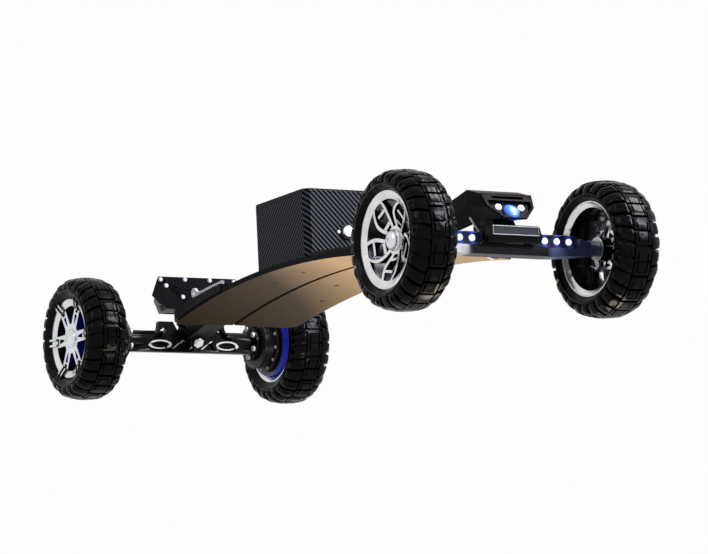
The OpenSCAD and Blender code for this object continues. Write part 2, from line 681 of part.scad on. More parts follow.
// Rotor with its hollow shaft and the sun gear cut on the shaft's end
module rotor() {
    back = motor_face - motor_l;
    color("silver") difference() {
        union() {
            translate([0, 0, back + 5]) cylinder(r = 24, h = motor_l - 10);
            translate([0, 0, back + 5]) cylinder(r = 12, h = gear_low - back - 5 + 0.5);
            translate([0, 0, gear_low]) linear_extrude(gear_w)
                polygon(gear_outline(sun_teeth, sun_pitch - dedendum, sun_pitch + addendum, gear_play, sun_turn));
        }
        translate([0, 0, back]) cylinder(r = axle_r + 1 + running, h = 60);
        for (a = [0 : 60 : 300]) rotate([0, 0, a]) translate([17.5, 0, back + 4]) cylinder(r = 3, h = motor_l);
    }
}
module left_rotor() {
    at_wheel(-1, rear_track) rotor();
}
module right_rotor() {
    mirror([0, 1, 0]) left_rotor();
}
module planet(k) {
    color([0.6, 0.6, 0.62]) at_wheel(-1, rear_track) rotate([0, 0, planet_angle(k)]) translate([planet_orbit, 0, gear_low])
        rotate([0, 0, -planet_angle(k)]) difference() {
            linear_extrude(gear_w) polygon(gear_outline(planet_teeth, planet_pitch - dedendum,
                planet_pitch + addendum, gear_play, planet_turn(k)));
            translate([0, 0, -1]) cylinder(r = post_r + running, h = gear_w + 2);
        }
}

// Tyres
crown_r = tyre_d / 2;
carcass_r = crown_r - tread_depth;
bead_h = 6;
function seat_r(lip_r) = lip_r - bead_h;
// Section of the sidewall as a rounded squarish arch from bead to crown, in radius and width
function sidewall(lip_r, inset, stop) = let (mid = (lip_r + carcass_r) / 2 + 1, low = mid - lip_r - 0.5,
    high = carcass_r - mid, wide = tyre_w / 2 - 1.8) [for (a = [stop : (90 - stop) / 9 : 90])
        [mid + sign(sin(a)) * pow(abs(sin(a)), 0.8) * ((a < 0 ? low : high) - inset),
            pow(cos(a), 0.7) * (wide - inset)]];
function flip(points) = [for (i = [len(points) - 1 : -1 : 0]) [points[i][0], -points[i][1]]];
// Slanted lugs of one row: bars cut to the shape of the row's band
module lug_row(band, length, slant, phase) {
    w0 = min([for (p = band) p[1]]);
    w1 = max([for (p = band) p[1]]);
    intersection() {
        rotate_extrude() polygon(band);
        for (k = [0 : lug_count - 1]) rotate([0, 0, 360 / lug_count * (k + phase)])
            translate([crown_r - 10, 0, (w0 + w1) / 2]) rotate([slant, 0, 0])
                cube([40, length, w1 - w0 + 12], center = true);
    }
}
module tyre(lip_r) {
    bead = rim_w / 2 - 6.2;
    outer = sidewall(lip_r, 0, -48);
    inner = sidewall(lip_r, tyre_wall, -60);
    foot = [[seat_r(lip_r) + gap, bead], [lip_r + 0.5, bead + 0.3], [lip_r + 0.5, rim_w / 2 - 3]];
    shoulder = tyre_w / 2;
    pitch = PI * tyre_d / lug_count;
    centre_half = [[crown_r, 0], [crown_r - 0.3, 8], [crown_r - 0.9, 14], [carcass_r - 3, 14]];
    side_band = [[carcass_r - 4, 16.6], [crown_r - 1.4, 16.6], [crown_r - 4.4, 24.5], [crown_r - 9.5, 31],
        [crown_r - 14, shoulder - 2], [crown_r - 18, shoulder], [crown_r - 20.5, shoulder - 0.4],
        [crown_r - 19, shoulder - 6], [crown_r - 13, shoulder - 10]];
    color([0.07, 0.07, 0.075]) {
        difference() {
            rotate_extrude() polygon(concat(foot, outer, flip(outer), flip(foot)));
            rotate_extrude() polygon(concat([[seat_r(lip_r) - 1, bead - 5], [seat_r(lip_r) + 4, bead - 5]], inner,
                flip(inner), [[seat_r(lip_r) + 4, 5 - bead], [seat_r(lip_r) - 1, 5 - bead]]));
        }
        lug_row(concat(centre_half, flip(centre_half)), pitch * 0.86, 0, 0);
        lug_row(side_band, pitch * 0.8, 10, 0.5);
        mirror([0, 0, 1]) lug_row(side_band, pitch * 0.8, 10, 0.5);
    }
}

// Rims
// Barrel with a lip at each side, its outer face a sloping ring that reaches in to face_r
module barrel(lip_r, face_r) {
    h = rim_w / 2;
    seat = seat_r(lip_r);
    inside = seat - rim_wall;
    rotate_extrude() polygon([[lip_r, h], [lip_r, h - 2.6], [seat + 1, h - 5.6], [seat, h - 6], [seat, 6 - h],
        [seat + 1, 5.6 - h], [lip_r, 2.6 - h], [lip_r, -h], [lip_r - 2, -h], [inside + 1, 5 - h], [inside, 8 - h],
        [inside, h - 12], [face_r, h - 9], [face_r, h - 4], [lip_r - 3, h]]);
}
// A curved bar from radius r0 to r1, bowed sideways by bow
function bar_outline(r0, r1, a0, a1, bow, w0, w1, n = 8) = let (mid = [for (i = [0 : n]) let (t = i / n)
    [r0 + (r1 - r0) * t, a0 + (a1 - a0) * t + bow * sin(180 * t), w0 + (w1 - w0) * t]])
    concat([for (p = mid) polar(p[0], p[1] - p[2] / p[0] * 90 / PI)],
        [for (i = [n : -1 : 0]) polar(mid[i][0], mid[i][1] + mid[i][2] / mid[i][0] * 90 / PI)]);
front_hub_r = 20;
module front_rim() {
    face_r = seat_r(front_lip_r) - rim_wall - 1.5;
    h = rim_w / 2;
    color([0.8, 0.8, 0.82]) difference() {
        union() {
            barrel(front_lip_r, face_r);
            intersection() {
                linear_extrude(h) for (k = [0 : spoke_pairs - 1]) rotate(k * 360 / spoke_pairs + 18) {
                    polygon(bar_outline(14, face_r + 2, -16, 1, -13, 5.5, 5));
                    polygon(bar_outline(14, face_r + 2, 15, 20, 9, 5.5, 5));
                    polygon(bar_outline(face_r - 14, face_r - 10.5, 10.5, 10.5, 0, 21, 20, 2));
                    polygon(bar_outline(26, 30, 1, 1, 0, 15, 16, 2));
                }
                rotate_extrude() polygon([[0, 2], [22, 3], [face_r + 2, h - 14], [face_r + 2, h - 3.5], [40, h - 8],
                    [22, 13.6], [0, 13.6]]);
            }
            translate([0, 0, -front_hub_w / 2]) cylinder(r = bearing_r + 3.5, h = front_hub_w);
            translate([0, 0, front_hub_w / 2 - 9]) cylinder(r = front_hub_r, h = 9);
        }
        cylinder(r = bearing_r - 4, h = 60, center = true);
        for (s = [-1, 1]) translate([0, 0, s * (front_hub_w / 2)])
            cylinder(r = bearing_r + 0.02, h = 2 * (bearing_w + gap), center = true);
    }
}
module rear_rim() {
    face_r = seat_r(rear_lip_r) - rim_wall - 1;
    h = rim_w / 2;
    arm_w = 18;
    cap_r = 15;
    color([0.8, 0.8, 0.82]) difference() {
        union() {
            barrel(rear_lip_r, face_r);
            translate([0, 0, h - 14]) linear_extrude(10) difference() {
                union() {
                    for (k = [0 : star_arms - 1]) rotate(k * 360 / star_arms)
                        translate([0, -arm_w / 2]) square([face_r + 2, arm_w]);
                    circle(24);
                }
                for (k = [0 : star_arms - 1]) rotate(k * 360 / star_arms)
                    polygon([[25, -1], [38, -3.6], [face_r - 11, -3.8], [face_r - 11, 3.8], [38, 3.6], [25, 1]]);
                for (k = [0 : star_arms - 1]) rotate(k * 360 / star_arms)
                    translate([face_r - 8, -4.2]) square([5, 8.4]);
            }
            for (k = [0 : star_arms - 1], side = [-1, 1]) rotate([0, 0, k * 360 / star_arms])
                translate([0, side * 4.6, 0]) side_extrude(3.2) polygon([[face_r - 3, h - 8], [face_r - 2, h - 1.5],
                    [rear_lip_r - 4, h + 3], [rear_lip_r + 5.4, h + 5.4], [rear_lip_r + 5.4, h + 3.7],
                    [rear_lip_r + 0.6, h + 0.6], [rear_lip_r - 3, h - 5]]);
            translate([0, 0, rear_hub_in]) cylinder(r = bearing_r + 4, h = h - 5 - rear_hub_in);
            translate([0, 0, rear_hub_in]) cylinder(r = 26, h = 5);
        }
        cylinder(r = bearing_r - 4, h = 80, center = true);
        translate([0, 0, rear_hub_in - 1]) cylinder(r = bearing_r + 0.02, h = 1 + bearing_w + gap);
        translate([0, 0, rear_bearing_out - bearing_w - gap]) cylinder(r = bearing_r + 0.02, h = 40);
        translate([0, 0, h - 6]) cylinder(r = cap_r + 0.1, h = 10);
    }
}
module hub_cap() {
    h = rim_w / 2;
    color([0.82, 0.82, 0.84]) translate([0, 0, h - 6 + gap]) rotate_extrude()
        polygon([[0, 0], [15, 0], [15, 2.5], [13, 4.2], [0, 5]]);
}
// A wheel bearing with its shielded face sunk between the races
module bearing() {
    in_r = axle_r + running;
    rotate_extrude() polygon([[in_r, 0], [in_r + 2.2, 0], [in_r + 2.2, 0.7], [bearing_r - 2.2, 0.7],
        [bearing_r - 2.2, 0], [bearing_r, 0], [bearing_r, bearing_w], [bearing_r - 2.2, bearing_w],
        [bearing_r - 2.2, bearing_w - 0.7], [in_r + 2.2, bearing_w - 0.7], [in_r + 2.2, bearing_w],
        [in_r, bearing_w]]);
}
module bearing_pair(low, high) {
    color([0.7, 0.7, 0.72]) for (z = [low, high]) translate([0, 0, z]) bearing();
}
// Blue toothed ring in the wheel, closed by a web that is bolted to the hub
module ring_gear() {
    web = gear_low + gear_w + 1.5;
    out_r = seat_r(rear_lip_r) - rim_wall - gap;
    color([0.1, 0.25, 0.8]) {
        difference() {
            translate([0, 0, gear_low - 1]) cylinder(r = out_r, h = gear_w + 2.5 + 0.01);
            translate([0, 0, gear_low - 2]) linear_extrude(gear_w + 5)
                polygon(gear_outline(ring_teeth, ring_pitch - addendum, ring_pitch + dedendum, -gear_play, ring_turn));
        }
        difference() {
            translate([0, 0, web]) cylinder(r = out_r, h = rear_hub_in - web);
            translate([0, 0, web - 1]) cylinder(r = axle_r + 3, h = 30);
            for (a = [15 : 60 : 315]) rotate([0, 0, a]) translate([36, 0, web - 1]) cylinder(r = 6, h = 30);
        }
    }
}
module front_wheel_part(side) {
    mirror([0, side < 0 ? 1 : 0, 0]) at_wheel(1, front_track) children();
}
module rear_wheel_part(side) {
    mirror([0, side < 0 ? 1 : 0, 0]) at_wheel(-1, rear_track) children();
}
module front_bearings() {
    bearing_pair(-front_hub_w / 2 + gap, front_hub_w / 2 - bearing_w - gap);
}
module rear_bearings() {
    bearing_pair(rear_hub_in + gap, rear_bearing_out - bearing_w);
}

// Lamps on the front truck
bar_low = beam_high + gap;
bar_high = axle_z + 16;
bar_in = block_w / 2 + 5;
bar_out = 115;
bar_x = axle_r + 0.3;
lamp_pitch = 20.5;
module light_bars() {
    color([0.08, 0.1, 0.2]) at_end(1) both_sides() difference() {
        translate([-8, 0, 0]) rotate([90, 0, 90]) linear_extrude(18) polygon([[bar_in, bar_low + 3.2], [60, bar_low],
            [bar_out, bar_low], [bar_out, bar_high - 2], [bar_out - 3, bar_high], [bar_in + 2, bar_high],
            [bar_in, bar_high - 2]]);
        translate([bar_x, bar_in + 4, bar_low + 4]) cube([10, bar_out - bar_in - 6, bar_high - bar_low - 6.5]);
        translate([0, 0, axle_z]) rotate([90, 0, 0]) cylinder(r = axle_r + 0.3, h = 600, center = true);
        translate([-20, 0, axle_z - 20]) cube([15, 600, 34]);
    }
}
module bar_lamps() {
    color("white") at_end(1) both_sides() for (k = [0 : 2])
        translate([bar_x + gap, bar_out - 13 - k * lamp_pitch, bar_low + 4 + bar_lamp_r + 0.8]) rotate([0, 90, 0]) {
            cylinder(r = bar_lamp_r, h = 2.5);
            translate([0, 0, 2.5]) cylinder(r1 = bar_lamp_r, r2 = bar_lamp_r - 1.2, h = 1.2);
        }
}
block_back = beam_front + gap;
block_front = 29;
plate_h = 12;
module name_block() {
    low = beam_high + 3 + gap;
    top = axle_z + 24;
    color([0.12, 0.12, 0.13]) at_end(1) difference() {
        union() {
            intersection() {
                side_extrude(200) polygon([[block_back, low], [block_front - 5, low], [block_front, top - plate_h - 4],
                    [block_front, top - 1.5], [block_front - 1.5, top], [block_back, top]]);
                rotate([90, 0, 90]) linear_extrude(100, center = true) polygon([[block_w / 2 + 3, low],
                    [block_w / 2 + 5, low + 5], [block_w / 2, top - 1.5], [block_w / 2 - 1.5, top],
                    [1.5 - block_w / 2, top], [-block_w / 2, top - 1.5], [-block_w / 2 - 5, low + 5],
                    [-block_w / 2 - 3, low]]);
            }
            both_sides() translate([axle_r + 1.5, 24, low]) cube([block_back - axle_r, 14, 3]);
        }
        translate([block_front - 1, -block_w / 2 + 2.5, top - plate_h - 1.5]) cube([2, block_w - 5, plate_h - 1]);
        at_kingpin() translate([0, 0, yoke_end - 2]) cylinder(r = 11, h = 30);
    }
}

// Headlamp housing and rear cover, on the truck bases
lamp_half = lamp_w / 2;
lamp_face_lean = 0.6;
lamp_low_z = axle_z + 33;
lamp_high_z = axle_z + 72;
lamp_nose = 28;
lamp_lens_z = axle_z + 45;
lens_r = 12.8;
side_lamp_z = axle_z + 52;
side_lamp_y = 19;
face_lean_deg = atan(lamp_face_lean);
// Frame on the tilted face of the headlamp, at height z and y, Z pointing out of the face
module on_lamp_face(y, z) {
    translate([lamp_nose - lamp_face_lean * (z - lamp_low_z), y, z]) rotate([0, 90 - face_lean_deg, 0]) children();
}
module lamp_housing() {
    front = [[lamp_half, lamp_high_z], [lamp_half - 4, axle_z + 51], [20, lamp_low_z]];
    crest = [[lamp_half, axle_z + 82.5], [lamp_half, axle_z + 60], [24, axle_z + 40]];
    tail = [[lamp_half - 4, axle_z + 68], [lamp_half - 4, axle_z + 46], [22, axle_z + 34]];
    channel = yoke_w / 2 + gap;
    color([0.1, 0.1, 0.11]) at_end(1) difference() {
        union() {
            loft([mirror_ring(-112, tail), mirror_ring(-27, crest), mirror_ring(lamp_nose, front, lamp_face_lean)]);
            on_lamp_face(0, lamp_low_z) translate([0, 0, -1]) linear_extrude(3.2)
                polygon([[-0.6, 19.5], [-21, lamp_half - 4.6], [-44.8, lamp_half - 0.6], [-44.8, 0.6 - lamp_half],
                    [-21, 4.6 - lamp_half], [-0.6, -19.5]]);
        }
        side_extrude(2 * channel) polygon([by_pin(-90, yoke_low + yoke_t + gap), by_pin(yoke_end + gap, yoke_low +
            yoke_t + gap), by_pin(yoke_end + gap, 10), by_pin(yoke_end + 6, 10), by_pin(yoke_end + 6, -40),
            by_pin(-90, -60)]);
        translate([-115, -channel, 90]) cube([60, 2 * channel, 62]);
        on_lamp_face(0, lamp_low_z) translate([0, 0, -2.5]) linear_extrude(10) {
            polygon([[-5, 19], [-21, lamp_half - 9], [-32, lamp_half - 7.5], [-32, 7.5 - lamp_half],
                [-21, 9 - lamp_half], [-5, -19]]);
            polygon([[-35, 25], [-40, 28], [-40, -28], [-35, -25]]);
        }
        on_lamp_face(0, lamp_lens_z) translate([0, 0, -6]) cylinder(r = lens_r + gap + 0.1, h = 20);
    }
}
module lamp_lens() {
    color([0.3, 0.6, 1]) at_end(1) on_lamp_face(0, lamp_lens_z) {
        translate([0, 0, -6 + gap]) cylinder(r = lens_r, h = 5);
        translate([0, 0, -1 + gap]) intersection() {
            cylinder(r = lens_r, h = 8);
            translate([0, 0, -14.5]) sphere(r = 20);
        }
    }
}
module side_lamps() {
    color("white") at_end(1) both_sides() on_lamp_face(side_lamp_y, side_lamp_z) translate([0, 0, -2.5 + gap]) {
        cylinder(r = 5, h = 2);
        translate([0, 0, 2]) cylinder(r1 = 5, r2 = 3.8, h = 1.2);
    }
}
stay_r = 1.6;
// Slim rods that brace the headlamp housing to its base
module lamp_stays() {
    color("white") at_end(1) both_sides() {
        top = [-32, lamp_half - 6, axle_z + 43.5];
        run = [-3, yoke_w / 2 + 1 - top[1], -22];
        translate(top) rotate([0, acos(run[2] / norm(run)), atan2(run[1], run[0])])
            cylinder(r = stay_r, h = norm(run));
    }
}
cover_face = -45;
module rear_cover() {
    half_w = cover_w / 2;
    top = cover_top_z;
    low = axle_z + 47;
    face = [[half_w - 13, top], [half_w, top - 32], [half_w - 16, top - 45], [half_w - 27, low]];
    mid = [[half_w - 27, top - 3], [half_w - 22, top - 30], [half_w - 30, top - 42], [half_w - 34, low]];
    tail = [[half_w - 56, top - 14], [half_w - 52, top - 28], [half_w - 57, top - 38], [half_w - 60, low + 6]];
    color([0.1, 0.1, 0.11]) at_end(-1) difference() {
        union() {
            loft([mirror_ring(cover_face, face), mirror_ring(-10, mid), mirror_ring(50, tail)]);
            for (k = [0 : 3]) cover_rib(half_w - 20 - k * 9, top - 5 - k * 8);
        }
        loft([mirror_ring(cover_face + 4, [for (p = face) [p[0] - 5, p[1] + (p[1] > low ? -4 : 3)]]),
            mirror_ring(-10, [for (p = mid) [p[0] - 5, p[1] + (p[1] > low ? -4 : 3)]]),
            mirror_ring(40, [for (p = tail) [p[0] - 5, p[1] + (p[1] > low ? -4 : 3)]])]);
        at_cover_screws() rotate([0, 90, 0]) {
            translate([0, 0, -1]) cylinder(r = screw_r + 0.1, h = 12);
            translate([0, 0, -5]) cylinder(r = screw_head_r + gap, h = 5);
        }
    }
}
// A raised rib across the cover's face: slanting down from each top corner, level between
module cover_rib(y, z) {
    drop = 13;
    t = 1.8;
    translate([cover_face - 1.6, 0, 0]) rotate([90, 0, 90]) linear_extrude(3) polygon([[y, z], [y * 0.45, z - drop],
        [-y * 0.45, z - drop], [-y, z], [-y, z - t * 1.4], [-y * 0.45, z - drop - t], [y * 0.45, z - drop - t],
        [y, z - t * 1.4]]);
}
module at_cover_screws() {
    half_w = cover_w / 2;
    for (side = [-1, 1], p = [[half_w - 17, cover_top_z - 5], [23, cover_top_z - 4], [half_w - 27, cover_top_z - 15],
        [28, cover_top_z - 33]]) translate([cover_face, side * p[0], p[1]]) children();
}
module controller() {
    color([0.3, 0.3, 0.32]) at_end(-1) translate([-38, -25, axle_z + 50 + gap]) {
        cube([50, 50, 5]);
        for (k = [0 : 5]) translate([3 + k * 7.5, 0, 0]) cube([3, 50, 18]);
    }
}
module screw() {
    translate([0, 0, 0]) cylinder(r = screw_r, h = 10);
    translate([0, 0, -2.6]) cylinder(r1 = screw_head_r - 1, r2 = screw_head_r, h = 2.6);
}
// Screws of the rear cover, and those that come up through the deck
module housing_screws() {
    color("white") {
        at_end(-1) at_cover_screws() rotate([0, 90, 0]) translate([0, 0, -0.1]) screw();
        at_deck_screws() translate([0, 0, 0.1]) {
            cylinder(r = screw_r, h = deck_t + 3);
            cylinder(r = screw_head_r, h = 1);
        }
    }
}

deck();
front_pad();
rear_pad();
foot_rails();
battery_case();
battery_lid();
battery_cells();
button_bezel();
power_button();
status_lamp();
front_base();
rear_base();
kingpins();
deck_bolts();
housing_screws();
lamp_housing();
lamp_lens();
side_lamps();
lamp_stays();
rear_cover();
controller();
front_hanger();
front_bushings();
light_bars();
bar_lamps();
name_block();
front_axle();
front_axle_nuts();
rear_hanger();
rear_bushings();
rear_axle();
rear_axle_nuts();
left_motor();
right_motor();
stators();
motor_bolts();
left_rotor();
right_rotor();
planet(0);  // left_planet_1
planet(1);  // left_planet_2
planet(2);  // left_planet_3
mirror([0, 1, 0]) planet(0);  // right_planet_1
mirror([0, 1, 0]) planet(1);  // right_planet_2
mirror([0, 1, 0]) planet(2);  // right_planet_3
front_wheel_part(1) tyre(front_lip_r);  // front_left_tyre
front_wheel_part(1) front_rim();  // front_left_rim
front_wheel_part(1) front_bearings();  // front_left_bearings
front_wheel_part(-1) tyre(front_lip_r);  // front_right_tyre
front_wheel_part(-1) front_rim();  // front_right_rim
front_wheel_part(-1) front_bearings();  // front_right_bearings
rear_wheel_part(1) tyre(rear_lip_r);  // rear_left_tyre
rear_wheel_part(1) rear_rim();  // rear_left_rim
rear_wheel_part(1) rear_bearings();  // rear_left_bearings
rear_wheel_part(1) ring_gear();  // rear_left_ring_gear
rear_wheel_part(1) hub_cap();  // rear_left_hub_cap
rear_wheel_part(-1) tyre(rear_lip_r);  // rear_right_tyre
rear_wheel_part(-1) rear_rim();  // rear_right_rim
rear_wheel_part(-1) rear_bearings();  // rear_right_bearings
rear_wheel_part(-1) ring_gear();  // rear_right_ring_gear
rear_wheel_part(-1) hub_cap();  // rear_right_hub_cap
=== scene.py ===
# %% [markdown]
# # An electric mountainboard, dressed for its portrait
# The solids come from a CAD model: a wooden deck on two sprung trucks, four block
# tread tyres, a battery case, a headlamp and a geared motor in each rear wheel. This
# notebook gives them their real surfaces and adds what a solid modeller leaves out,
# such as sipes in the tread. Lengths in Blender are metres, so `MM` turns millimetres
# into them. +X is forward, +Y is the rider's left and the tyres stand on z = 0.

# %% Load the frame
import json
import math
import bmesh
import bpy
from mathutils import Matrix, Vector

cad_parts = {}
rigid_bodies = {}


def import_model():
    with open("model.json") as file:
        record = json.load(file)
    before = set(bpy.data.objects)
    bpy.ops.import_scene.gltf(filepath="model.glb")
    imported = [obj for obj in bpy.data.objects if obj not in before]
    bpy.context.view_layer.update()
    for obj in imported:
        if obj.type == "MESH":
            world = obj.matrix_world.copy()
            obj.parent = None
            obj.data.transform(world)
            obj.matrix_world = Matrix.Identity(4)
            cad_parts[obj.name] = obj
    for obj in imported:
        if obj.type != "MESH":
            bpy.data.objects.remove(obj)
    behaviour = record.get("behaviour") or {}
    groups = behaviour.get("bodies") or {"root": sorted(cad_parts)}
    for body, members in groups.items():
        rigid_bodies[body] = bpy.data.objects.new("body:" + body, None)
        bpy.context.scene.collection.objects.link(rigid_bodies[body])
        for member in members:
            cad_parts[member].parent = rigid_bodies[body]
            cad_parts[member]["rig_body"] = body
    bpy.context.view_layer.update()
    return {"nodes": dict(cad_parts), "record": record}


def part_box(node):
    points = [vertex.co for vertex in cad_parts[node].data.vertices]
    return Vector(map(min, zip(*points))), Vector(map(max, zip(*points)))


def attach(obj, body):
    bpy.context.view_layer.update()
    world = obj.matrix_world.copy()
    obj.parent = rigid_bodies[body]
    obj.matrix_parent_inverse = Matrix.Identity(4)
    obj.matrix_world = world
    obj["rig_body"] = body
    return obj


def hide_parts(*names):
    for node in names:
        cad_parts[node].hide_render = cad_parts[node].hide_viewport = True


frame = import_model()
MM = 0.001

# %% [markdown]
# ## Camera
# The photograph looks up at the board from the front and the right, from below the
# deck, with a long lens and a slight roll. A camera could be aimed with a constraint,
# but then its roll is hard to give. Here its three axes are worked out from two angles
# and the roll, and written straight into its matrix. A small shift places the board
# off the middle of the picture, as it is in the photograph.

# %% Place the camera
def aim(azimuth, elevation, roll, distance, target):
    a, e, r = (math.radians(v) for v in (azimuth, elevation, roll))
    back = Vector((math.cos(a) * math.cos(e), math.sin(a) * math.cos(e), math.sin(e)))
    level = Vector((0, 0, 1)).cross(back).normalized()
    plumb = back.cross(level)
    right = math.cos(r) * level + math.sin(r) * plumb
    up = math.cos(r) * plumb - math.sin(r) * level
    matrix = Matrix((right, up, back)).transposed().to_4x4()
    matrix.translation = target + back * distance
    return matrix

focal_px, photo_px, sensor_mm = 3560, 708, 36
board_middle = Vector((0, 0, 0.1))
scene = bpy.context.scene
lens = bpy.data.cameras.new("studio_camera")
lens.sensor_width = sensor_mm
lens.lens = focal_px * sensor_mm / photo_px
lens.shift_x, lens.shift_y = 0.02807, 0.0284
lens.clip_start, lens.clip_end = 0.1, 60
camera = bpy.data.objects.new("studio_camera", lens)
scene.collection.objects.link(camera)
camera.matrix_world = aim(azimuth=-30.1, elevation=-8.36, roll=-2.78, distance=5.47, target=board_middle)
scene.camera = camera
scene.view_settings.view_transform = "Standard"
print("lens", round(lens.lens), "mm")

# %% [markdown]
# ## Shader sums as plain Python
# A material is a web of nodes, and a web written out node by node hides the idea in
# the wiring. `Wire` wraps one socket, so that `1 - mask` or `a * b + c` adds the Math
# nodes by itself. `Finish` owns a material, and its `node` method makes any other
# node: its settings first, because they can change its sockets, then the values or
# wires that go in. Numbers that don't vary stay on the shader's own sockets. `spot`
# and `facing` give single axes of the place and of the surface normal. A mask is a wire
# between 0 and 1: `band` makes a soft one from any wire, and `>` or `<` a hard one.

# %% The Wire and Finish classes
class Wire:
    def __init__(self, finish, socket):
        self.finish, self.socket = finish, socket

    def sum(self, operation, *values, clamp=False):
        settings = {"operation": operation, "use_clamp": clamp}
        return self.finish.node("ShaderNodeMath", settings, dict(enumerate(values)))

    def __add__(self, other): return self.sum("ADD", self, other)
    def __radd__(self, other): return self.sum("ADD", other, self)
    def __sub__(self, other): return self.sum("SUBTRACT", self, other)
    def __rsub__(self, other): return self.sum("SUBTRACT", other, self)
    def __mul__(self, other): return self.sum("MULTIPLY", self, other)
    def __rmul__(self, other): return self.sum("MULTIPLY", other, self)
    def __truediv__(self, other): return self.sum("DIVIDE", self, other)
    def __gt__(self, other): return self.sum("GREATER_THAN", self, other)
    def __lt__(self, other): return self.sum("LESS_THAN", self, other)
    def __abs__(self): return self.sum("ABSOLUTE", self)
    def wave(self): return self.sum("SINE", self)
    def root(self): return self.sum("SQRT", self)
    def share(self): return self.sum("FRACT", self)
    def clamp(self): return self.sum("ADD", self, 0, clamp=True)
    def band(self, start, slope): return ((self - start) * slope).clamp()
    def most(self, other): return self.sum("MAXIMUM", self, other)
    def least(self, other): return self.sum("MINIMUM", self, other)


class Finish:
    def __init__(self, name):
        self.material = bpy.data.materials.new(name)
        self.material.use_nodes = True
        self.tree = self.material.node_tree
        self.tree.nodes.clear()

    def node(self, kind, settings=None, inputs=None, output=0):
        made = self.tree.nodes.new(kind)
        for name, value in (settings or {}).items():
            if name == "stops":
                ramp = made.color_ramp
                while len(ramp.elements) < len(value):
                    ramp.elements.new(1)
                for element, (place, colour) in zip(ramp.elements, value):
                    element.position, element.color = place, (*colour, 1)
            else:
                setattr(made, name, value)
        for name, value in (inputs or {}).items():
            if isinstance(value, Wire):
                self.tree.links.new(value.socket, made.inputs[name])
            else:
                made.inputs[name].default_value = value
        return Wire(self, made.outputs[output]) if made.outputs else None

    def place(self, scale=(1, 1, 1)):
        raw = self.node("ShaderNodeTexCoord", output="Object")
        return self.node("ShaderNodeMapping", None, {"Vector": raw, "Scale": scale})

    def split(self, vector, letters):
        outputs = self.node("ShaderNodeSeparateXYZ", None, {"Vector": vector}).socket.node.outputs
        wires = [Wire(self, outputs["xyz".index(letter)]) for letter in letters]
        return wires if len(wires) > 1 else wires[0]

    def spot(self, letters):
        return self.split(self.place(), letters)

    def facing(self, letters):
        return self.split(self.node("ShaderNodeTexCoord", output="Normal"), letters)

    def noise(self, scale, detail=3, rough=0.5, where=None):
        return self.node("ShaderNodeTexNoise", None, {
            "Vector": where or self.place(), "Scale": scale, "Detail": detail, "Roughness": rough})

    def cells(self, scale):
        return self.node("ShaderNodeTexVoronoi", None, {"Vector": self.place(), "Scale": scale})

    def ramp(self, factor, *stops):
        return self.node("ShaderNodeValToRGB", {"stops": stops}, {"Fac": factor})

    def mix(self, factor, first, second, blend="MIX"):
        def colour(value):
            return value if isinstance(value, Wire) else (*value, 1)
        return self.node("ShaderNodeMix", {"data_type": "RGBA", "blend_type": blend},
                         {0: factor, 6: colour(first), 7: colour(second)}, output=2)

    def bump(self, height, depth, strength=1.0, under=None):
        inputs = {"Height": height, "Distance": depth, "Strength": strength}
        if under is not None:
            inputs["Normal"] = under
        return self.node("ShaderNodeBump", None, inputs)

    def done(self, **sockets):
        names = {key.replace("_", " "): value for key, value in sockets.items()}
        for key, value in names.items():
            if isinstance(value, tuple) and len(value) == 3:
                names[key] = (*value, 1)
        shader = self.node("ShaderNodeBsdfPrincipled", None, names)
        self.show(shader)
        return self.material

    def show(self, shader):
        self.node("ShaderNodeOutputMaterial", None, {"Surface": shader})

print("Wire and Finish are ready")

# %% [markdown]
# ## Studio
# The board stands on a pale floor, but the camera is below it, looking up. A real
# studio would use a sheet of glass. Here the floor shows only its upper side: its
# shader turns clear for a ray that meets its back, so the floor still takes a shadow
# in every view from above. The board neither mirrors the floor nor takes light from
# it. The world shows white to the camera, and to the rays that make reflections, while
# it lights the board at a lower level.

# %% Floor and world
def pale_floor():
    floor = Finish("pale_floor")
    grain = floor.noise(3)
    pale = floor.node("ShaderNodeBsdfDiffuse", None, {
        "Color": floor.ramp(grain, (0.3, (0.86, 0.86, 0.85)), (0.7, (0.9, 0.9, 0.89)))})
    clear = floor.node("ShaderNodeBsdfTransparent")
    back = floor.node("ShaderNodeNewGeometry", output="Backfacing")
    floor.show(floor.node("ShaderNodeMixShader", None, {0: back, 1: pale, 2: clear}))
    return floor.material

floor_half = 14
sheet = bmesh.new()
bmesh.ops.create_grid(sheet, x_segments=1, y_segments=1, size=floor_half)
floor_mesh = bpy.data.meshes.new("studio_floor")
sheet.to_mesh(floor_mesh)
sheet.free()
floor = bpy.data.objects.new("studio_floor", floor_mesh)
scene.collection.objects.link(floor)
floor_mesh.materials.append(pale_floor())
floor.visible_shadow = False
floor.visible_glossy = False
floor.visible_diffuse = False

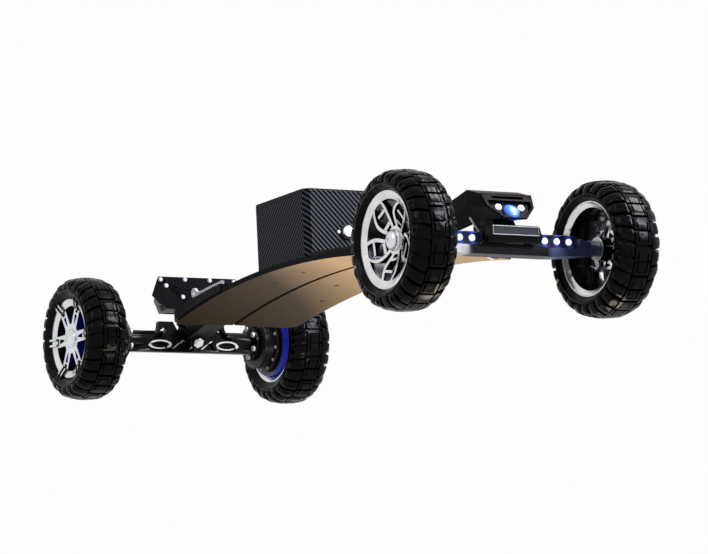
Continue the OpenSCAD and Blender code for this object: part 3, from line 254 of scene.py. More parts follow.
lighting, backdrop = (0.2, 0.205, 0.215, 1), (0.985, 0.985, 0.975, 1)
world = bpy.data.worlds.new("studio_world")
scene.world = world
world.use_nodes = True
sky = world.node_tree
sky.nodes.clear()
rays = sky.nodes.new("ShaderNodeLightPath")
seen = sky.nodes.new("ShaderNodeMath")
seen.operation = "ADD"
shown = sky.nodes.new("ShaderNodeMath")
shown.operation, shown.use_clamp = "ADD", True
tone = sky.nodes.new("ShaderNodeMix")
tone.data_type = "RGBA"
tone.inputs[6].default_value = lighting
tone.inputs[7].default_value = backdrop
background = sky.nodes.new("ShaderNodeBackground")
result = sky.nodes.new("ShaderNodeOutputWorld")
for start, end in ((rays.outputs["Is Camera Ray"], seen.inputs[0]),
                   (rays.outputs["Is Glossy Ray"], seen.inputs[1]),
                   (seen.outputs[0], shown.inputs[0]),
                   (rays.outputs["Is Transmission Ray"], shown.inputs[1]),
                   (shown.outputs[0], tone.inputs[0]),
                   (tone.outputs[2], background.inputs["Color"]),
                   (background.outputs[0], result.inputs["Surface"])):
    sky.links.new(start, end)
print("studio floor", floor_mesh.vertices[0].co.length, "m to its corner")

# %% [markdown]
# ## Lamps
# Soft light is light from a large area. The photograph's highlights sit on the tread
# where it faces forward and up to the left, so the key lamp is there, and a weaker one
# fills from the right. The deck's underside glows golden only at its front end, so a
# small warm lamp lies low beneath it. It is near, so its light falls off fast towards
# the rear. A sheen lamp adds reflections and nothing else: it draws the highlights on
# the tyres and the beam. Lamps are hidden from the camera, but not from reflections.

# %% Soft lamps
def soft_lamp(name, place, target, size, watts, colour):
    light = bpy.data.lights.new(name, "AREA")
    light.size, light.energy, light.color = size, watts, colour
    lamp = bpy.data.objects.new(name, light)
    scene.collection.objects.link(lamp)
    turn = (Vector(target) - Vector(place)).to_track_quat("-Z", "Y").to_matrix().to_4x4()
    lamp.matrix_world = Matrix.Translation(place) @ turn
    lamp.visible_camera = False
    return lamp

soft_lamp("key_lamp", (1.3, 2.0, 2.8), (0.1, 0, 0.1), 1.25, 118, (0.97, 0.985, 1.0))
soft_lamp("right_lamp", (0.9, -3.0, 1.9), (0, 0, 0.1), 1.6, 26, (0.93, 0.96, 1.0))
soft_lamp("low_lamp", (0.4, 0.26, -0.46), (0.18, 0, 0.14), 0.28, 4.2, (1.0, 0.86, 0.68))
sheen = soft_lamp("sheen_lamp", (2.4, 1.65, 1.5), (0.3, 0, 0.15), 0.9, 105, (0.86, 0.9, 1.0))
sheen.data.diffuse_factor = 0.0
print("four lamps")

# %% [markdown]
# ## From a CAD solid to a finished casting
# A CAD solid arrives as loose triangles with knife edges, and real castings and
# mouldings never have those: each edge has a small round that catches the light. The
# CAD mesh itself must not change, so `softened` works on a copy. It joins the
# triangles, dissolves the flat ones into whole faces, and lets a Bevel modifier round
# what is still an edge. The copy then stands in for the CAD node.

# %% Helpers for pieces
SMOOTH_ANGLE = 32
JOIN_MM = 0.002
FLAT_DEGREES = 0.6

def finished(name, mesh_maker, material, body, slot, *stands_for):
    mesh = bpy.data.meshes.new(name)
    mesh_maker.to_mesh(mesh)
    mesh_maker.free()
    mesh.materials.append(material)
    piece = bpy.data.objects.new(name, mesh)
    scene.collection.objects.link(piece)
    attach(piece, body)
    if stands_for:
        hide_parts(*stands_for)
    return piece


def shade(mesh, angle=SMOOTH_ANGLE):
    mesh.shade_smooth()
    mesh.set_sharp_from_angle(angle=math.radians(angle))


def round_edges(piece, width):
    edge = piece.modifiers.new("edge", "BEVEL")
    edge.width, edge.segments, edge.profile = width * MM, 2, 0.5
    edge.limit_method, edge.angle_limit = "ANGLE", math.radians(SMOOTH_ANGLE)
    edge.harden_normals = True
    shade(piece.data)
    return piece


def softened(node, material, width):
    source = frame["nodes"][node]
    copy = bmesh.new()
    copy.from_mesh(source.data)
    bmesh.ops.remove_doubles(copy, verts=copy.verts, dist=JOIN_MM * MM)
    bmesh.ops.dissolve_degenerate(copy, edges=copy.edges, dist=JOIN_MM * MM)
    bmesh.ops.dissolve_limit(copy, verts=copy.verts, edges=copy.edges,
                             angle_limit=math.radians(FLAT_DEGREES), use_dissolve_boundaries=False)
    slot = next(s["material_slot"] for s in frame["record"]["subparts"] if s["node"] == node)
    piece = finished(node + "_finished", copy, material, source["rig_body"], slot, node)
    return round_edges(piece, width)


def dress(material, *names):
    for name in names:
        node = frame["nodes"][name]
        for slot in node.material_slots:
            slot.material = material

# %% [markdown]
# ## Where the wheels are
# Each wheel is modelled once, about the Z axis with its outer face up, as a turner
# would hold it. `wheel_place` then lays it on its axle: the rear wheels are mirrored
# front to back and the right ones side to side. A mirror turns a shell inside out,
# so the faces are turned back after it.

# %% Wheel frames
axle_x, axle_z = 492, 100
track = {"front": 338, "rear": 374}
lip = {"front": 69, "rear": 64}

def wheel_place(end, side):
    lay = Matrix.Rotation(math.radians(-90), 4, "X")
    out = Matrix.Translation((axle_x, track[end] / 2, axle_z)) @ lay
    flip_x = Matrix.Diagonal((1 if end == "front" else -1, 1, 1, 1))
    flip_y = Matrix.Diagonal((1, 1 if side == "left" else -1, 1, 1))
    return Matrix.Scale(MM, 4) @ flip_y @ flip_x @ out


def set_on_axle(shape, end, side):
    bmesh.ops.transform(shape, matrix=wheel_place(end, side), verts=shape.verts)
    bmesh.ops.recalc_face_normals(shape, faces=shape.faces)

wheels = [(end, side) for end in ("front", "rear") for side in ("left", "right")]
print("tyre middle planes at y =", track["front"] / 2, "and", track["rear"] / 2, "mm")

# %% [markdown]
# ## Tyres
# The tyres are pneumatic, with blocks across the crown and slanted bars over the
# shoulders. The blocks carry sipes, thin cuts that let the rubber flex. They could be
# drawn as a bump pattern, but the outline of a tyre shows its blocks against the
# background, so they are real here. The section is one curve: from the crown down to
# its widest radius a round form, and from there to the bead a wall that draws in. Each
# block is made flat, in millimetres along the tread, across it and up, and then bent
# on to that curve.

# %% The tyre's section
crown_r, half_w, tread = 100, 36.5, 6
widest_r = 79
crown_power, side_power, wall_power = 0.82, 0.66, 1.7
# The bead: its angle below the widest place, its rise from the rim's lip and its inset
bead_angle, bead_rise, bead_inset = 40, 0.6, 7.2
section_steps = 70

def section_point(angle, lip_r):
    if angle >= 0:
        a = math.radians(angle)
        rise = (crown_r - widest_r) * math.sin(a) ** crown_power
        return widest_r + rise, half_w * math.cos(a) ** side_power
    t = -angle / bead_angle
    return widest_r - (widest_r - lip_r - bead_rise) * t, half_w - bead_inset * t ** wall_power


def section_line(lip_r):
    angles = [90 - (90 + bead_angle) * k / section_steps for k in range(section_steps + 1)]
    points = [Vector(section_point(angle, lip_r)) for angle in angles]
    along = [0.0]
    for a, b in zip(points, points[1:]):
        along.append(along[-1] + (b - a).length)
    return points, along


def on_section(line, s, height):
    points, along = line
    far = min(abs(s), along[-1] - 0.001)
    k = max(i for i, v in enumerate(along[:-1]) if v <= far)
    step = points[k + 1] - points[k]
    t = (far - along[k]) / step.length
    out = Vector((-step.y, step.x)).normalized() * -1
    spot = points[k] + step * t + out * height
    return spot.x, spot.y if s >= 0 else -spot.y

front_line = section_line(lip["front"])
print("half section is", round(front_line[1][-1], 1), "mm long")
print("crown", on_section(front_line, 0, 0), "2 mm above it at 30 mm", on_section(front_line, 30, 2))

# %% [markdown]
# ## Blocks with sipes
# A block starts as a flat grid whose lines are moved to where its cuts begin and end.
# A small drawing says which squares stand up: `#` is rubber and `.` is a cut. The
# raised squares are extruded, the block's outside goes down into the carcass, its top
# edges are bevelled, its top is domed a little, as old moulds leave it, and only then
# is it bent round the tyre. Spin copies it round.

# %% Make and bend one block
block_foot, block_edge, block_dome = 7.5, 0.9, 0.85
centre_sipe, shoulder_sipe = 2.6, 1.6
near = 0.001

def block(drawing, u_lines, s_lines, sipe):
    rows, columns = len(drawing), len(drawing[0])
    shape = bmesh.new()
    bmesh.ops.create_grid(shape, x_segments=columns, y_segments=rows, size=1)
    for v in shape.verts:
        column = round((v.co.x + 1) / 2 * columns)
        row = round((1 - v.co.y) / 2 * rows)
        v.co = Vector((u_lines[row], s_lines[column], -sipe))

    def drawn(face):
        spot = face.calc_center_median()
        row = sum(spot.x < u for u in u_lines[1:-1])
        column = sum(spot.y > s for s in s_lines[1:-1])
        return drawing[row][column] == "#"

    raised = [f for f in shape.faces if drawn(f)]
    lifted = bmesh.ops.extrude_face_region(shape, geom=raised)["geom"]
    tops = [g for g in lifted if isinstance(g, bmesh.types.BMFace)]
    for v in {v for f in tops for v in f.verts}:
        v.co.z = 0
    bmesh.ops.delete(shape, geom=[f for f in raised if f.is_valid], context="FACES_ONLY")
    rim = [e for e in shape.edges if e.is_boundary]
    down = bmesh.ops.extrude_edge_only(shape, edges=rim)["geom"]
    for v in {g for g in down if isinstance(g, bmesh.types.BMVert)}:
        v.co.z = -block_foot
    bmesh.ops.remove_doubles(shape, verts=shape.verts, dist=near)
    bmesh.ops.holes_fill(shape, edges=[e for e in shape.edges if e.is_boundary], sides=0)
    bmesh.ops.dissolve_degenerate(shape, edges=shape.edges, dist=near)
    crest = [e for e in shape.edges if len(e.link_faces) == 2 and
             {round(f.normal.z) for f in e.link_faces} == {0, 1} and
             all(v.co.z > -10 * near for v in e.verts)]
    bmesh.ops.bevel(shape, geom=crest, offset=block_edge, affect="EDGES", segments=3, profile=0.5,
                    material=-1, clamp_overlap=True)
    half_u, half_s = (u_lines[0] - u_lines[-1]) / 2, (s_lines[-1] - s_lines[0]) / 2
    for v in (v for v in shape.verts if v.co.z > -sipe / 2):
        u = (v.co.x - u_lines[-1]) / half_u - 1
        s = (v.co.y - s_lines[0]) / half_s - 1
        v.co.z -= block_dome * max(abs(u), abs(s)) ** 3
    return shape


def bend(shape, line, slant, turn):
    for v in shape.verts:
        u, s, height = v.co
        r, z = on_section(line, s, height)
        angle = (u + slant * abs(s)) / crown_r + turn
        v.co = Vector((r * math.cos(angle), r * math.sin(angle), z))
    bmesh.ops.recalc_face_normals(shape, faces=shape.faces)

trial = block(["##.##"], [9.4, -9.4], [-13, -7, -2, 2, 7, 13], centre_sipe)
print("a block with one cut has", len(trial.faces), "faces")
trial.free()

# %% [markdown]
# ## One whole tyre
# The carcass is a closed section spun round the axle: crown, shoulder, smooth
# sidewall, bead and inner wall. Centre blocks alternate between a hoop shaped cut and
# two straight ones, which gives the linked look of the real tread. Long and short
# bars take turns on the shoulders. The numbers beside a drawing say where its rows and
# columns begin, in millimetres. Everything is joined into one piece per wheel.

# %% Build the tyres
centre_pairs, bars = 14, 28
block_half = math.pi * crown_r / (centre_pairs * 2) - 2.1
bar_half = math.pi * crown_r / bars - 2.4
across = [-13.2, -9.2, -7.0, -2.6, 2.6, 7.0, 9.2, 13.2]
hoop = ["#######", "#.....#", "#.###.#", "#.###.#"]
fork = ["#.###.#", "#.###.#", "#######"]
centre_blocks = ((hoop, [block_half, 5.6, 3.6, -2.0, -block_half], 0),
                 (fork, [block_half, 3.0, -1.0, -block_half], math.pi / centre_pairs))
long_bar = ["#####", "###.#", "#####"], [15.4, 20, 33, 35.1, 42, 52]
short_bar = ["###.#", "#####", "#####"], [15.4, 20, 27, 29.1, 40, 46]
bar_lines = [bar_half, bar_half * 0.35, -bar_half * 0.35, -bar_half]
bar_slant = -0.22
# The carcass: its wall, where the tread's depth fades out, and the steps across and round
wall, groove_share = 5, 0.98
tread_end, tread_fade = 50, 9
side_steps, round_steps = 36, 112

def add_copies(target, unit, copies):
    step = 2 * math.pi / copies
    bmesh.ops.spin(unit, geom=unit.verts[:] + unit.edges[:] + unit.faces[:], cent=(0, 0, 0),
                   axis=(0, 0, 1), dvec=(0, 0, 0), angle=step * (copies - 1), steps=copies - 1,
                   use_duplicate=True)
    pack = bpy.data.meshes.new("pack")
    unit.to_mesh(pack)
    unit.free()
    target.from_mesh(pack)
    bpy.data.meshes.remove(pack)


def carcass(line, lip_r):
    shape = bmesh.new()
    outside = []
    for k in range(side_steps + 1):
        s = line[1][-1] * k / side_steps
        fade = min(1, max(0, (tread_end - s) / tread_fade))
        outside.append(on_section(line, s, -tread * fade * groove_share))
    bead = [(lip_r + bead_rise, 26.6), (lip_r - 5.6, 22.6), (lip_r - 4, 18.5), (lip_r + 8, 24)]
    inside = [on_section(line, s, -tread - wall) for s in (40, 32, 22, 10)] + [(crown_r - tread - wall, 0)]
    verts = [shape.verts.new((r, 0, z)) for r, z in outside + bead + inside]
    loop = [shape.edges.new(pair) for pair in zip(verts, verts[1:])]
    bmesh.ops.spin(shape, geom=verts + loop, cent=(0, 0, 0), axis=(0, 0, 1), dvec=(0, 0, 0),
                   angle=2 * math.pi, steps=round_steps, use_merge=True, use_duplicate=False)
    bmesh.ops.mirror(shape, geom=shape.verts[:] + shape.edges[:] + shape.faces[:], axis="Z",
                     merge_dist=0.01)
    bmesh.ops.remove_doubles(shape, verts=shape.verts, dist=0.01)
    bmesh.ops.recalc_face_normals(shape, faces=shape.faces)
    return shape


def tyre(lip_r):
    line = section_line(lip_r)
    shape = carcass(line, lip_r)
    for drawing, lengths, turn in centre_blocks:
        unit = block(drawing, lengths, across, centre_sipe)
        bend(unit, line, 0, turn)
        add_copies(shape, unit, centre_pairs)
    for side in (-1, 1):
        for kind, (drawing, reach) in enumerate((long_bar, short_bar)):
            unit = block(drawing, bar_lines, [side * v for v in reach], shoulder_sipe)
            bend(unit, line, bar_slant, (kind + 0.5 * (side > 0)) * math.pi * 2 / bars)
            add_copies(shape, unit, bars // 2)
    return shape


def tread_rubber():
    rubber = Finish("tread_rubber")
    coarse = rubber.noise(28, 4, 0.6)
    fine = rubber.noise(900, 3, 0.6)
    dusty = rubber.ramp(coarse, (0.35, (0.001, 0.001, 0.0014)), (0.75, (0.003, 0.0031, 0.004)))
    dents = rubber.noise(75, 2, 0.4)
    grain = rubber.bump(fine, 0.00015, 0.4, under=rubber.bump(dents, 0.002, 0.6))
    return rubber.done(Base_Color=dusty, Roughness=0.12 + 0.14 * coarse, Specular_IOR_Level=0.06,
                       Normal=grain)

rubber = tread_rubber()
for end, side in wheels:
    shape = tyre(lip[end])
    set_on_axle(shape, end, side)
    made = finished(f"{end}_{side}_tread", shape, rubber, f"{end}_{side}_wheel", "tyre",
                    f"{end}_{side}_tyre")
    shade(made.data, 38)
print("a tyre has", len(made.data.vertices), "points")

# %% [markdown]
# ## Rims, hubs and bearings
# The rims are castings painted black and then machined bright on the faces across the
# axle, so the spokes read as silver lines round dark openings. Two materials on one
# casting would need a cut along every edge. The surface normal already tells a
# machined face from a painted wall, so one material does it. On the rear wheels the
# machined face ends at the rim's lip, and the hub's drum is blue. The CAD solids have
# the right forms, so they are softened, not remade.

# %% Bright metals
machined_r, drum_r = 64.5, 45

def axle_distance(x, z):
    along, up = abs(x) - axle_x * MM, z - axle_z * MM
    return (along * along + up * up).root() / MM


def cast_bright(name, painted):
    bright = Finish(name)
    swirl = bright.noise(60, 4, 0.6)
    fine = bright.noise(700, 2, 0.5, bright.place(scale=(1, 0.08, 1)))
    tone = bright.ramp(swirl, (0.3, (0.62, 0.63, 0.65)), (0.7, (0.78, 0.785, 0.8)))
    if painted:
        x, z = bright.spot("xz")
        from_axle = axle_distance(x, z)
        machined = abs(bright.facing("y")).band(0.62, 8) * (from_axle < machined_r).most(x > 0)
        drum = (from_axle < drum_r) * (x < 0)
        paint = bright.mix(drum, (0.011, 0.011, 0.013), (0.03, 0.15, 1.0))
        tone = bright.mix(machined, paint, tone)
    return bright.done(Base_Color=tone, Metallic=0.9, Roughness=0.16 + 0.12 * swirl,
                       Normal=bright.bump(fine, 0.0001, 0.3))


def bearing_steel():
    steel = Finish("bearing_steel")
    smear = steel.noise(220, 3, 0.5)
    return steel.done(Base_Color=steel.ramp(smear, (0.3, (0.42, 0.42, 0.44)), (0.7, (0.6, 0.6, 0.62))),
                      Metallic=1.0, Roughness=0.2 + 0.2 * smear)

bright = cast_bright("polished_casting", painted=False)
two_tone = cast_bright("machined_casting", painted=True)
race = bearing_steel()
for end, side in wheels:
    softened(f"{end}_{side}_rim", two_tone, 0.5)
    dress(race, f"{end}_{side}_bearings")
for side in ("left", "right"):
    softened(f"rear_{side}_hub_cap", bright, 0.4)
print("four rims and two caps are softened")

# %% [markdown]
# ## Gear drive
# Blue anodising is a clear dye over aluminium, so it is a metal with a strong colour.
# It shows on the walls and round the hub. Its faces towards the board, and its flat outer faces beyond
# web_r, are black: painted shade, where the ring sits deep in the wheel.
# The gears are cut steel with an oil film that varies from tooth to tooth. The motors
# are black anodised drums with fine turning lines, made from rings round their axis.

# %% Drive finishes
web_r = 60
turning_pitch, wire_pitch = 1.1, 0.9

def blue_anodised():
    blue = Finish("blue_anodised")
    cloud = blue.noise(90, 3)
    x, y, z = blue.spot("xyz")
    ny = blue.facing("y")
    side = (y > 0) * 2 - 1
    # Painted shade: faces towards the board and the outer web beyond web_r turn black
    shade_on_inboard_faces = (ny * side * -1).band(0.6, 8)
    shade_on_outer_web = (ny * side).band(0.6, 8) * (axle_distance(x, z) > web_r)
    dye = blue.ramp(cloud, (0.3, (0.006, 0.03, 0.66)), (0.7, (0.014, 0.07, 0.92)))
    colour = blue.mix(shade_on_inboard_faces.most(shade_on_outer_web), dye, (0.006, 0.006, 0.009))
    return blue.done(Base_Color=colour, Metallic=0.2, Roughness=0.26 + 0.14 * cloud,
                     Normal=blue.bump(cloud, 0.0002, 0.3))


def oiled_steel():
    gear = Finish("oiled_gear_steel")
    oil = gear.noise(160, 4)
    film = gear.ramp(oil, (0.35, (0.24, 0.23, 0.22)), (0.65, (0.5, 0.5, 0.52)))
    return gear.done(Base_Color=film, Metallic=1.0, Roughness=0.18 + 0.3 * oil)


def turned_black():
    turned = Finish("turned_black_drum")
    lines = (turned.spot("y") * (2 * math.pi / (turning_pitch * MM))).wave()
    cloud = turned.noise(40)
    black = turned.ramp(cloud, (0.3, (0.006, 0.006, 0.008)), (0.7, (0.014, 0.014, 0.017)))
    return turned.done(Base_Color=black, Metallic=0.1, Roughness=0.22 + 0.12 * cloud, Specular_IOR_Level=0.2,
                       Normal=turned.bump(lines, 0.0001, 0.35))


def winding_copper():
    copper = Finish("winding_copper")
    wires = (copper.spot("y") * (2 * math.pi / (wire_pitch * MM))).wave()
    tint = copper.noise(120)
    enamel = copper.ramp(tint, (0.3, (0.42, 0.16, 0.05)), (0.7, (0.7, 0.3, 0.11)))
    return copper.done(Base_Color=enamel, Metallic=0.8, Roughness=0.3, Coat_Weight=0.5,
                       Normal=copper.bump(wires, 0.0003, 0.6))

blue, gear_steel, drum, copper = blue_anodised(), oiled_steel(), turned_black(), winding_copper()
dress(copper, "stators")
for side in ("left", "right"):
    softened(f"rear_{side}_ring_gear", blue, 0.25)
    softened(f"{side}_motor", drum, 0.5)
    dress(gear_steel, f"{side}_rotor", *[f"{side}_planet_{k}" for k in (1, 2, 3)])
print("two geared motors are finished")

# %% [markdown]
# ## Deck
# The deck is laminated wood with a dead matt oil finish. Its underside shows long pale
# grain over painted light and shade: painted shade, dark brown, at the rear, and warm
# gold at the front, where a brighter band is a painted pool of light. A dark double line
# follows the groove along the middle, the long edges are sealed in dark grey, and grip
# sheet covers the top. The surface normal tells the three faces apart.
# The change from dark to gold runs slantwise, further back on the rider's left.

# %% Laminated wood
# Where the painted light and shade along the underside starts, how far it runs and its slant
light_and_shade_start, light_and_shade_length, light_and_shade_slant = -0.42, 0.75, 1.1
plies_per_m = 850

def laminate():
    wood = Finish("lacquered_laminate")
    x, y, z = wood.spot("xyz")
    nz = wood.facing("z")
    under = (nz * -1).band(0.45, 6)
    top = nz.band(0.45, 6)
    streak = wood.noise(1, 5, 0.62, wood.place(scale=(5, 130, 20)))
    fleck = wood.noise(1, 3, 0.7, wood.place(scale=(40, 900, 60)))
    cloud = wood.noise(6, 2)
    # Painted shade, dark brown, at the rear and a painted pool of gold light towards the front
    along = ((x + light_and_shade_slant * y - light_and_shade_start) / light_and_shade_length + (cloud - 0.5) * 0.06).clamp()
    wood_and_painted_light = wood.ramp(along, (0.0, (0.07, 0.055, 0.044)), (0.2, (0.11, 0.092, 0.076)),
                      (0.36, (0.16, 0.14, 0.122)), (0.63, (0.88, 0.65, 0.43)), (1.0, (0.56, 0.45, 0.33)))
    grained = wood.mix(streak * 0.3, wood_and_painted_light, (0.42, 0.32, 0.22), "MULTIPLY")
    grained = wood.mix(fleck * 0.12, grained, (0.1, 0.07, 0.04))
    middle = abs(y) / MM
    lines = ((middle > 1.0) * (middle < 3.8)).most((middle < 0.5) * 0.6)
    grained = wood.mix(lines, grained, (0.012, 0.009, 0.007))
    ply = (z * plies_per_m).share()
    edge = wood.ramp(ply, (0.0, (0.02, 0.02, 0.022)), (0.5, (0.045, 0.044, 0.045)),
                     (0.9, (0.02, 0.02, 0.022)))
    grit = wood.cells(1400)
    sheet = wood.mix(grit * 0.5, (0.012, 0.012, 0.013), (0.05, 0.05, 0.052))
    colour = wood.mix(top, wood.mix(under, edge, grained), sheet)
    relief = wood.bump(streak * 0.5 * under + grit * top, 0.0005, 0.35)
    return wood.done(Base_Color=colour, Roughness=0.34 + 0.1 * streak + 0.4 * top,
                     Specular_IOR_Level=0.0, Normal=relief)

dress(laminate(), "deck")

# %% [markdown]
# ## Foot pads and rails
# The pads are moulded rubber with ribs across the board. Ribs could be cut into the
# mesh, but they are shallow and even, so a sine of the length along the board drives
# a bump. A darker colour between the ribs, and on faces that don't look up, is painted
# shade that gives them depth in soft light.

# %% Ribbed rubber
rib_pitch = 7

def ribbed(name, low, high):
    pad = Finish(name)
    wave = (pad.spot("x") * (2 * math.pi / (rib_pitch * MM))).wave() * 0.5 + 0.5
    # Painted shade: a darker colour between the ribs and on faces that don't look up
    rib_and_painted_shade = wave.band(0.25, 3) * pad.facing("z").band(0.5, 8)
    dust = pad.noise(35, 4, 0.6)
    fine = pad.noise(1100, 2)
    colour = pad.mix(rib_and_painted_shade, low, pad.ramp(dust, (0.3, high), (0.75, tuple(v * 1.7 for v in high))))
    relief = pad.bump(fine, 0.0001, 0.5, under=pad.bump(rib_and_painted_shade, 0.0012, 0.8))
    return pad.done(Base_Color=colour, Roughness=0.45 + 0.2 * dust, Specular_IOR_Level=0.07,
                    Normal=relief)

dress(ribbed("front_pad_rubber", (0.004, 0.004, 0.005), (0.014, 0.014, 0.017)), "front_pad")
dress(ribbed("rear_pad_rubber", (0.005, 0.005, 0.006), (0.016, 0.016, 0.02)), "rear_pad")


def gloss_plastic(name, dark, light, rough=0.22, spec=0.5):
    plastic = Finish(name)
    cloud = plastic.noise(70, 3)
    fine = plastic.noise(1500, 2)
    return plastic.done(Base_Color=plastic.ramp(cloud, (0.3, dark), (0.7, light)),
                        Roughness=rough + 0.12 * cloud, Specular_IOR_Level=spec,
                        Normal=plastic.bump(fine, 0.00006, 0.4))

white = gloss_plastic("white_moulding", (0.7, 0.7, 0.72), (0.85, 0.85, 0.86))
softened("foot_rails", white, 0.5)
print("pads and rails are finished")

# %% [markdown]
# ## Battery case
# The case is laid up in carbon twill under clear coat. In a twill each strand passes
# over two and under two, and the step moves on by one in each row, so light strands
# line up into diagonals. `twill` works that out from two lengths along a face. The
# surface normal picks which two, so that the cloth lies flat on all five faces, and
# the diagonals meet at the corners as cloth laid over a box does.

# %% Carbon twill
tow = 2.15 * MM
wrap_band_z = 218

def twill():
    carbon = Finish("carbon_twill")
    x, y, z = carbon.spot("xyz")
    nx, nz = (abs(n) for n in carbon.facing("xz"))
    front = nx > 0.6
    top = nz > 0.6
    run = y * front + x * (1 - front)
    rise = (z * (1 - top) + y * top) * (2 * front - 1)
    diagonal = ((run + rise) / (4 * tow)).share()
    stripe = abs(diagonal - 0.5).band(0.2, 5)
    strand = (run / tow).share() - 0.5
    cross = (rise / tow).share() - 0.5
    rounded = 1 - (strand * strand * 1.6 + cross * cross * 1.6)
    fibre = carbon.noise(1, 2, 0.5, carbon.place(scale=(2500, 2500, 300)))
    light = stripe * rounded * (0.8 + 0.4 * fibre)
    colour = carbon.ramp(light, (0.0, (0.002, 0.002, 0.0025)), (0.35, (0.02, 0.021, 0.024)),
                         (1.0, (0.17, 0.185, 0.215)))
    return carbon.done(Base_Color=colour, Roughness=0.42 - 0.12 * stripe, Specular_IOR_Level=0.02,
                       Normal=carbon.bump(stripe * rounded, 0.0003, 0.4))

carbon = twill()
softened("battery_case", carbon, 0.7)
softened("battery_lid", carbon, 0.7)


def shrink_wrap():
    wrap = Finish("cell_wrap")
    stripe = abs(wrap.spot("z") / MM - wrap_band_z) < 3
    tint = wrap.noise(200)
    film = wrap.ramp(tint, (0.3, (0.02, 0.1, 0.3)), (0.7, (0.04, 0.16, 0.42)))
    return wrap.done(Base_Color=wrap.mix(stripe, film, (0.6, 0.6, 0.6)), Roughness=0.25 + 0.1 * tint)

dress(shrink_wrap(), "battery_cells")
low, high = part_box("battery_case")
print("case", [round(v / MM) for v in high - low], "mm")

# %% [markdown]
# ## Power button
# The button is a spun metal cap: flat in the middle, with one turned ring and a rolled
# edge. It is drawn as half of its section and spun, and it rides on the button's own
# body, so that it moves when the button is pressed. A small white lamp sits beside it.

# %% Button, bezel and lamp
cap_section = [(0, -8.8), (9, -8.8), (9, -7), (7, -7), (7, -0.05), (8.6, 0), (9, 0.5), (9, 2.5),
               (8.3, 3.2), (7.3, 3.35), (7, 2.9), (6.5, 2.9), (6.2, 3.3), (0, 3.4)]
cap_top = cap_section[-1][1]

def turned(profile):
    shape = bmesh.new()
    verts = [shape.verts.new((r * MM, 0, h * MM)) for r, h in profile]
    edges = [shape.edges.new(pair) for pair in zip(verts, verts[1:])]
    bmesh.ops.spin(shape, geom=verts + edges, cent=(0, 0, 0), axis=(0, 0, 1), dvec=(0, 0, 0),
                   angle=2 * math.pi, steps=64, use_merge=True, use_duplicate=False)
    bmesh.ops.remove_doubles(shape, verts=shape.verts, dist=JOIN_MM * MM)
    bmesh.ops.holes_fill(shape, edges=[e for e in shape.edges if e.is_boundary], sides=0)
    bmesh.ops.recalc_face_normals(shape, faces=shape.faces)
    return shape


def facing_forward(shape, place):
    turn = Vector((0, 0, 1)).rotation_difference(Vector((1, 0, 0))).to_matrix().to_4x4()
    bmesh.ops.transform(shape, matrix=Matrix.Translation(place) @ turn, verts=shape.verts)
    return shape

low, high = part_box("power_button")
middle = (low + high) / 2
cap = facing_forward(turned(cap_section), Vector((high.x - cap_top * MM, middle.y, middle.z)))
cap = finished("power_button_cap", cap, bright, "button", "chrome_cap", "power_button")
shade(cap.data, 40)
black_trim = gloss_plastic("black_trim", (0.004, 0.004, 0.005), (0.008, 0.008, 0.01), 0.2, 0.25)
softened("button_bezel", black_trim, 0.4)
print("button cap at", [round(v / MM, 1) for v in middle])


def white_lamp():
    lamp = Finish("white_lamp")
    facets = lamp.cells(500)
    colour = lamp.mix(facets * 0.6, (1.0, 1.0, 1.0), (0.75, 0.85, 1.0))
    return lamp.done(Base_Color=colour, Emission_Color=colour, Emission_Strength=0.75, Roughness=0.12,
                     Coat_Weight=0.6, Coat_Roughness=0.04)

dress(white_lamp(), "status_lamp", "side_lamps", "bar_lamps")

# %% [markdown]
# ## Trucks
# The bases that carry the steering pins are powder coated, which leaves a fine orange
# peel. The front beam is satin grey on its right arm and slate blue on its left, and
# dark in the middle. A lighter line on its top front edges is a painted highlight.
# The rear one is black, with painted highlights along its front: bright ovals and
# slanted strokes, drawn here as distances from a curve or a line. Screws that show
# under the deck are painted dark, as painted shade, so that they don't glint against the wood.

# %% Coated metals
beam_middle = 62

def powder_coat(name, dark, light, rough, spec, peel):
    coated = Finish(name)
    cloud = coated.noise(24, 4, 0.6)
    orange = coated.noise(520, 2, 0.4)
    colour = coated.ramp(cloud, (0.3, dark), (0.72, light))
    return coated.done(Base_Color=colour, Roughness=rough + 0.12 * cloud, Specular_IOR_Level=spec,
                       Normal=coated.bump(orange, peel, 0.35))


def beam_coat():
    beam = Finish("front_beam_coat")
    y = beam.spot("y")
    cloud = beam.noise(30, 4)
    ends = (abs(y) / MM).band(beam_middle, 0.09)
    grey = beam.ramp(cloud, (0.3, (0.34, 0.345, 0.36)), (0.7, (0.46, 0.465, 0.48)))
    slate = beam.ramp(cloud, (0.3, (0.035, 0.048, 0.12)), (0.7, (0.07, 0.085, 0.16)))
    nx, nz = beam.facing("xz")
    # Painted highlight: a lighter line on the top front edges
    painted_edge_highlight = (nx > 0.25) * (nz > 0.25) * (nz < 0.93)
    coat = beam.mix(ends, (0.0025, 0.003, 0.004), beam.mix(y > 0, grey, slate))
    colour = beam.mix(painted_edge_highlight * 0.85, coat, (0.5, 0.52, 0.58))
    fine = beam.noise(600, 2)
    return beam.done(Base_Color=colour, Roughness=0.34 + 0.12 * cloud, Metallic=0.25 * ends,
                     Specular_IOR_Level=0.08, Normal=beam.bump(fine, 0.0001, 0.3))

base_coat = powder_coat("base_powder_coat", (0.002, 0.002, 0.0025), (0.005, 0.005, 0.006),
                        0.34, 0.05, 0.00012)
softened("front_base", base_coat, 0.8)
softened("rear_base", base_coat, 0.8)
softened("front_hanger", beam_coat(), 1.5)


oval_middles, oval_half_w, oval_half_h = (-58, 66), 18, 6.2
stroke_starts, stroke_slope, stroke_half = (-26, 4, 28), 1.3, 1.6
outline_z = 92

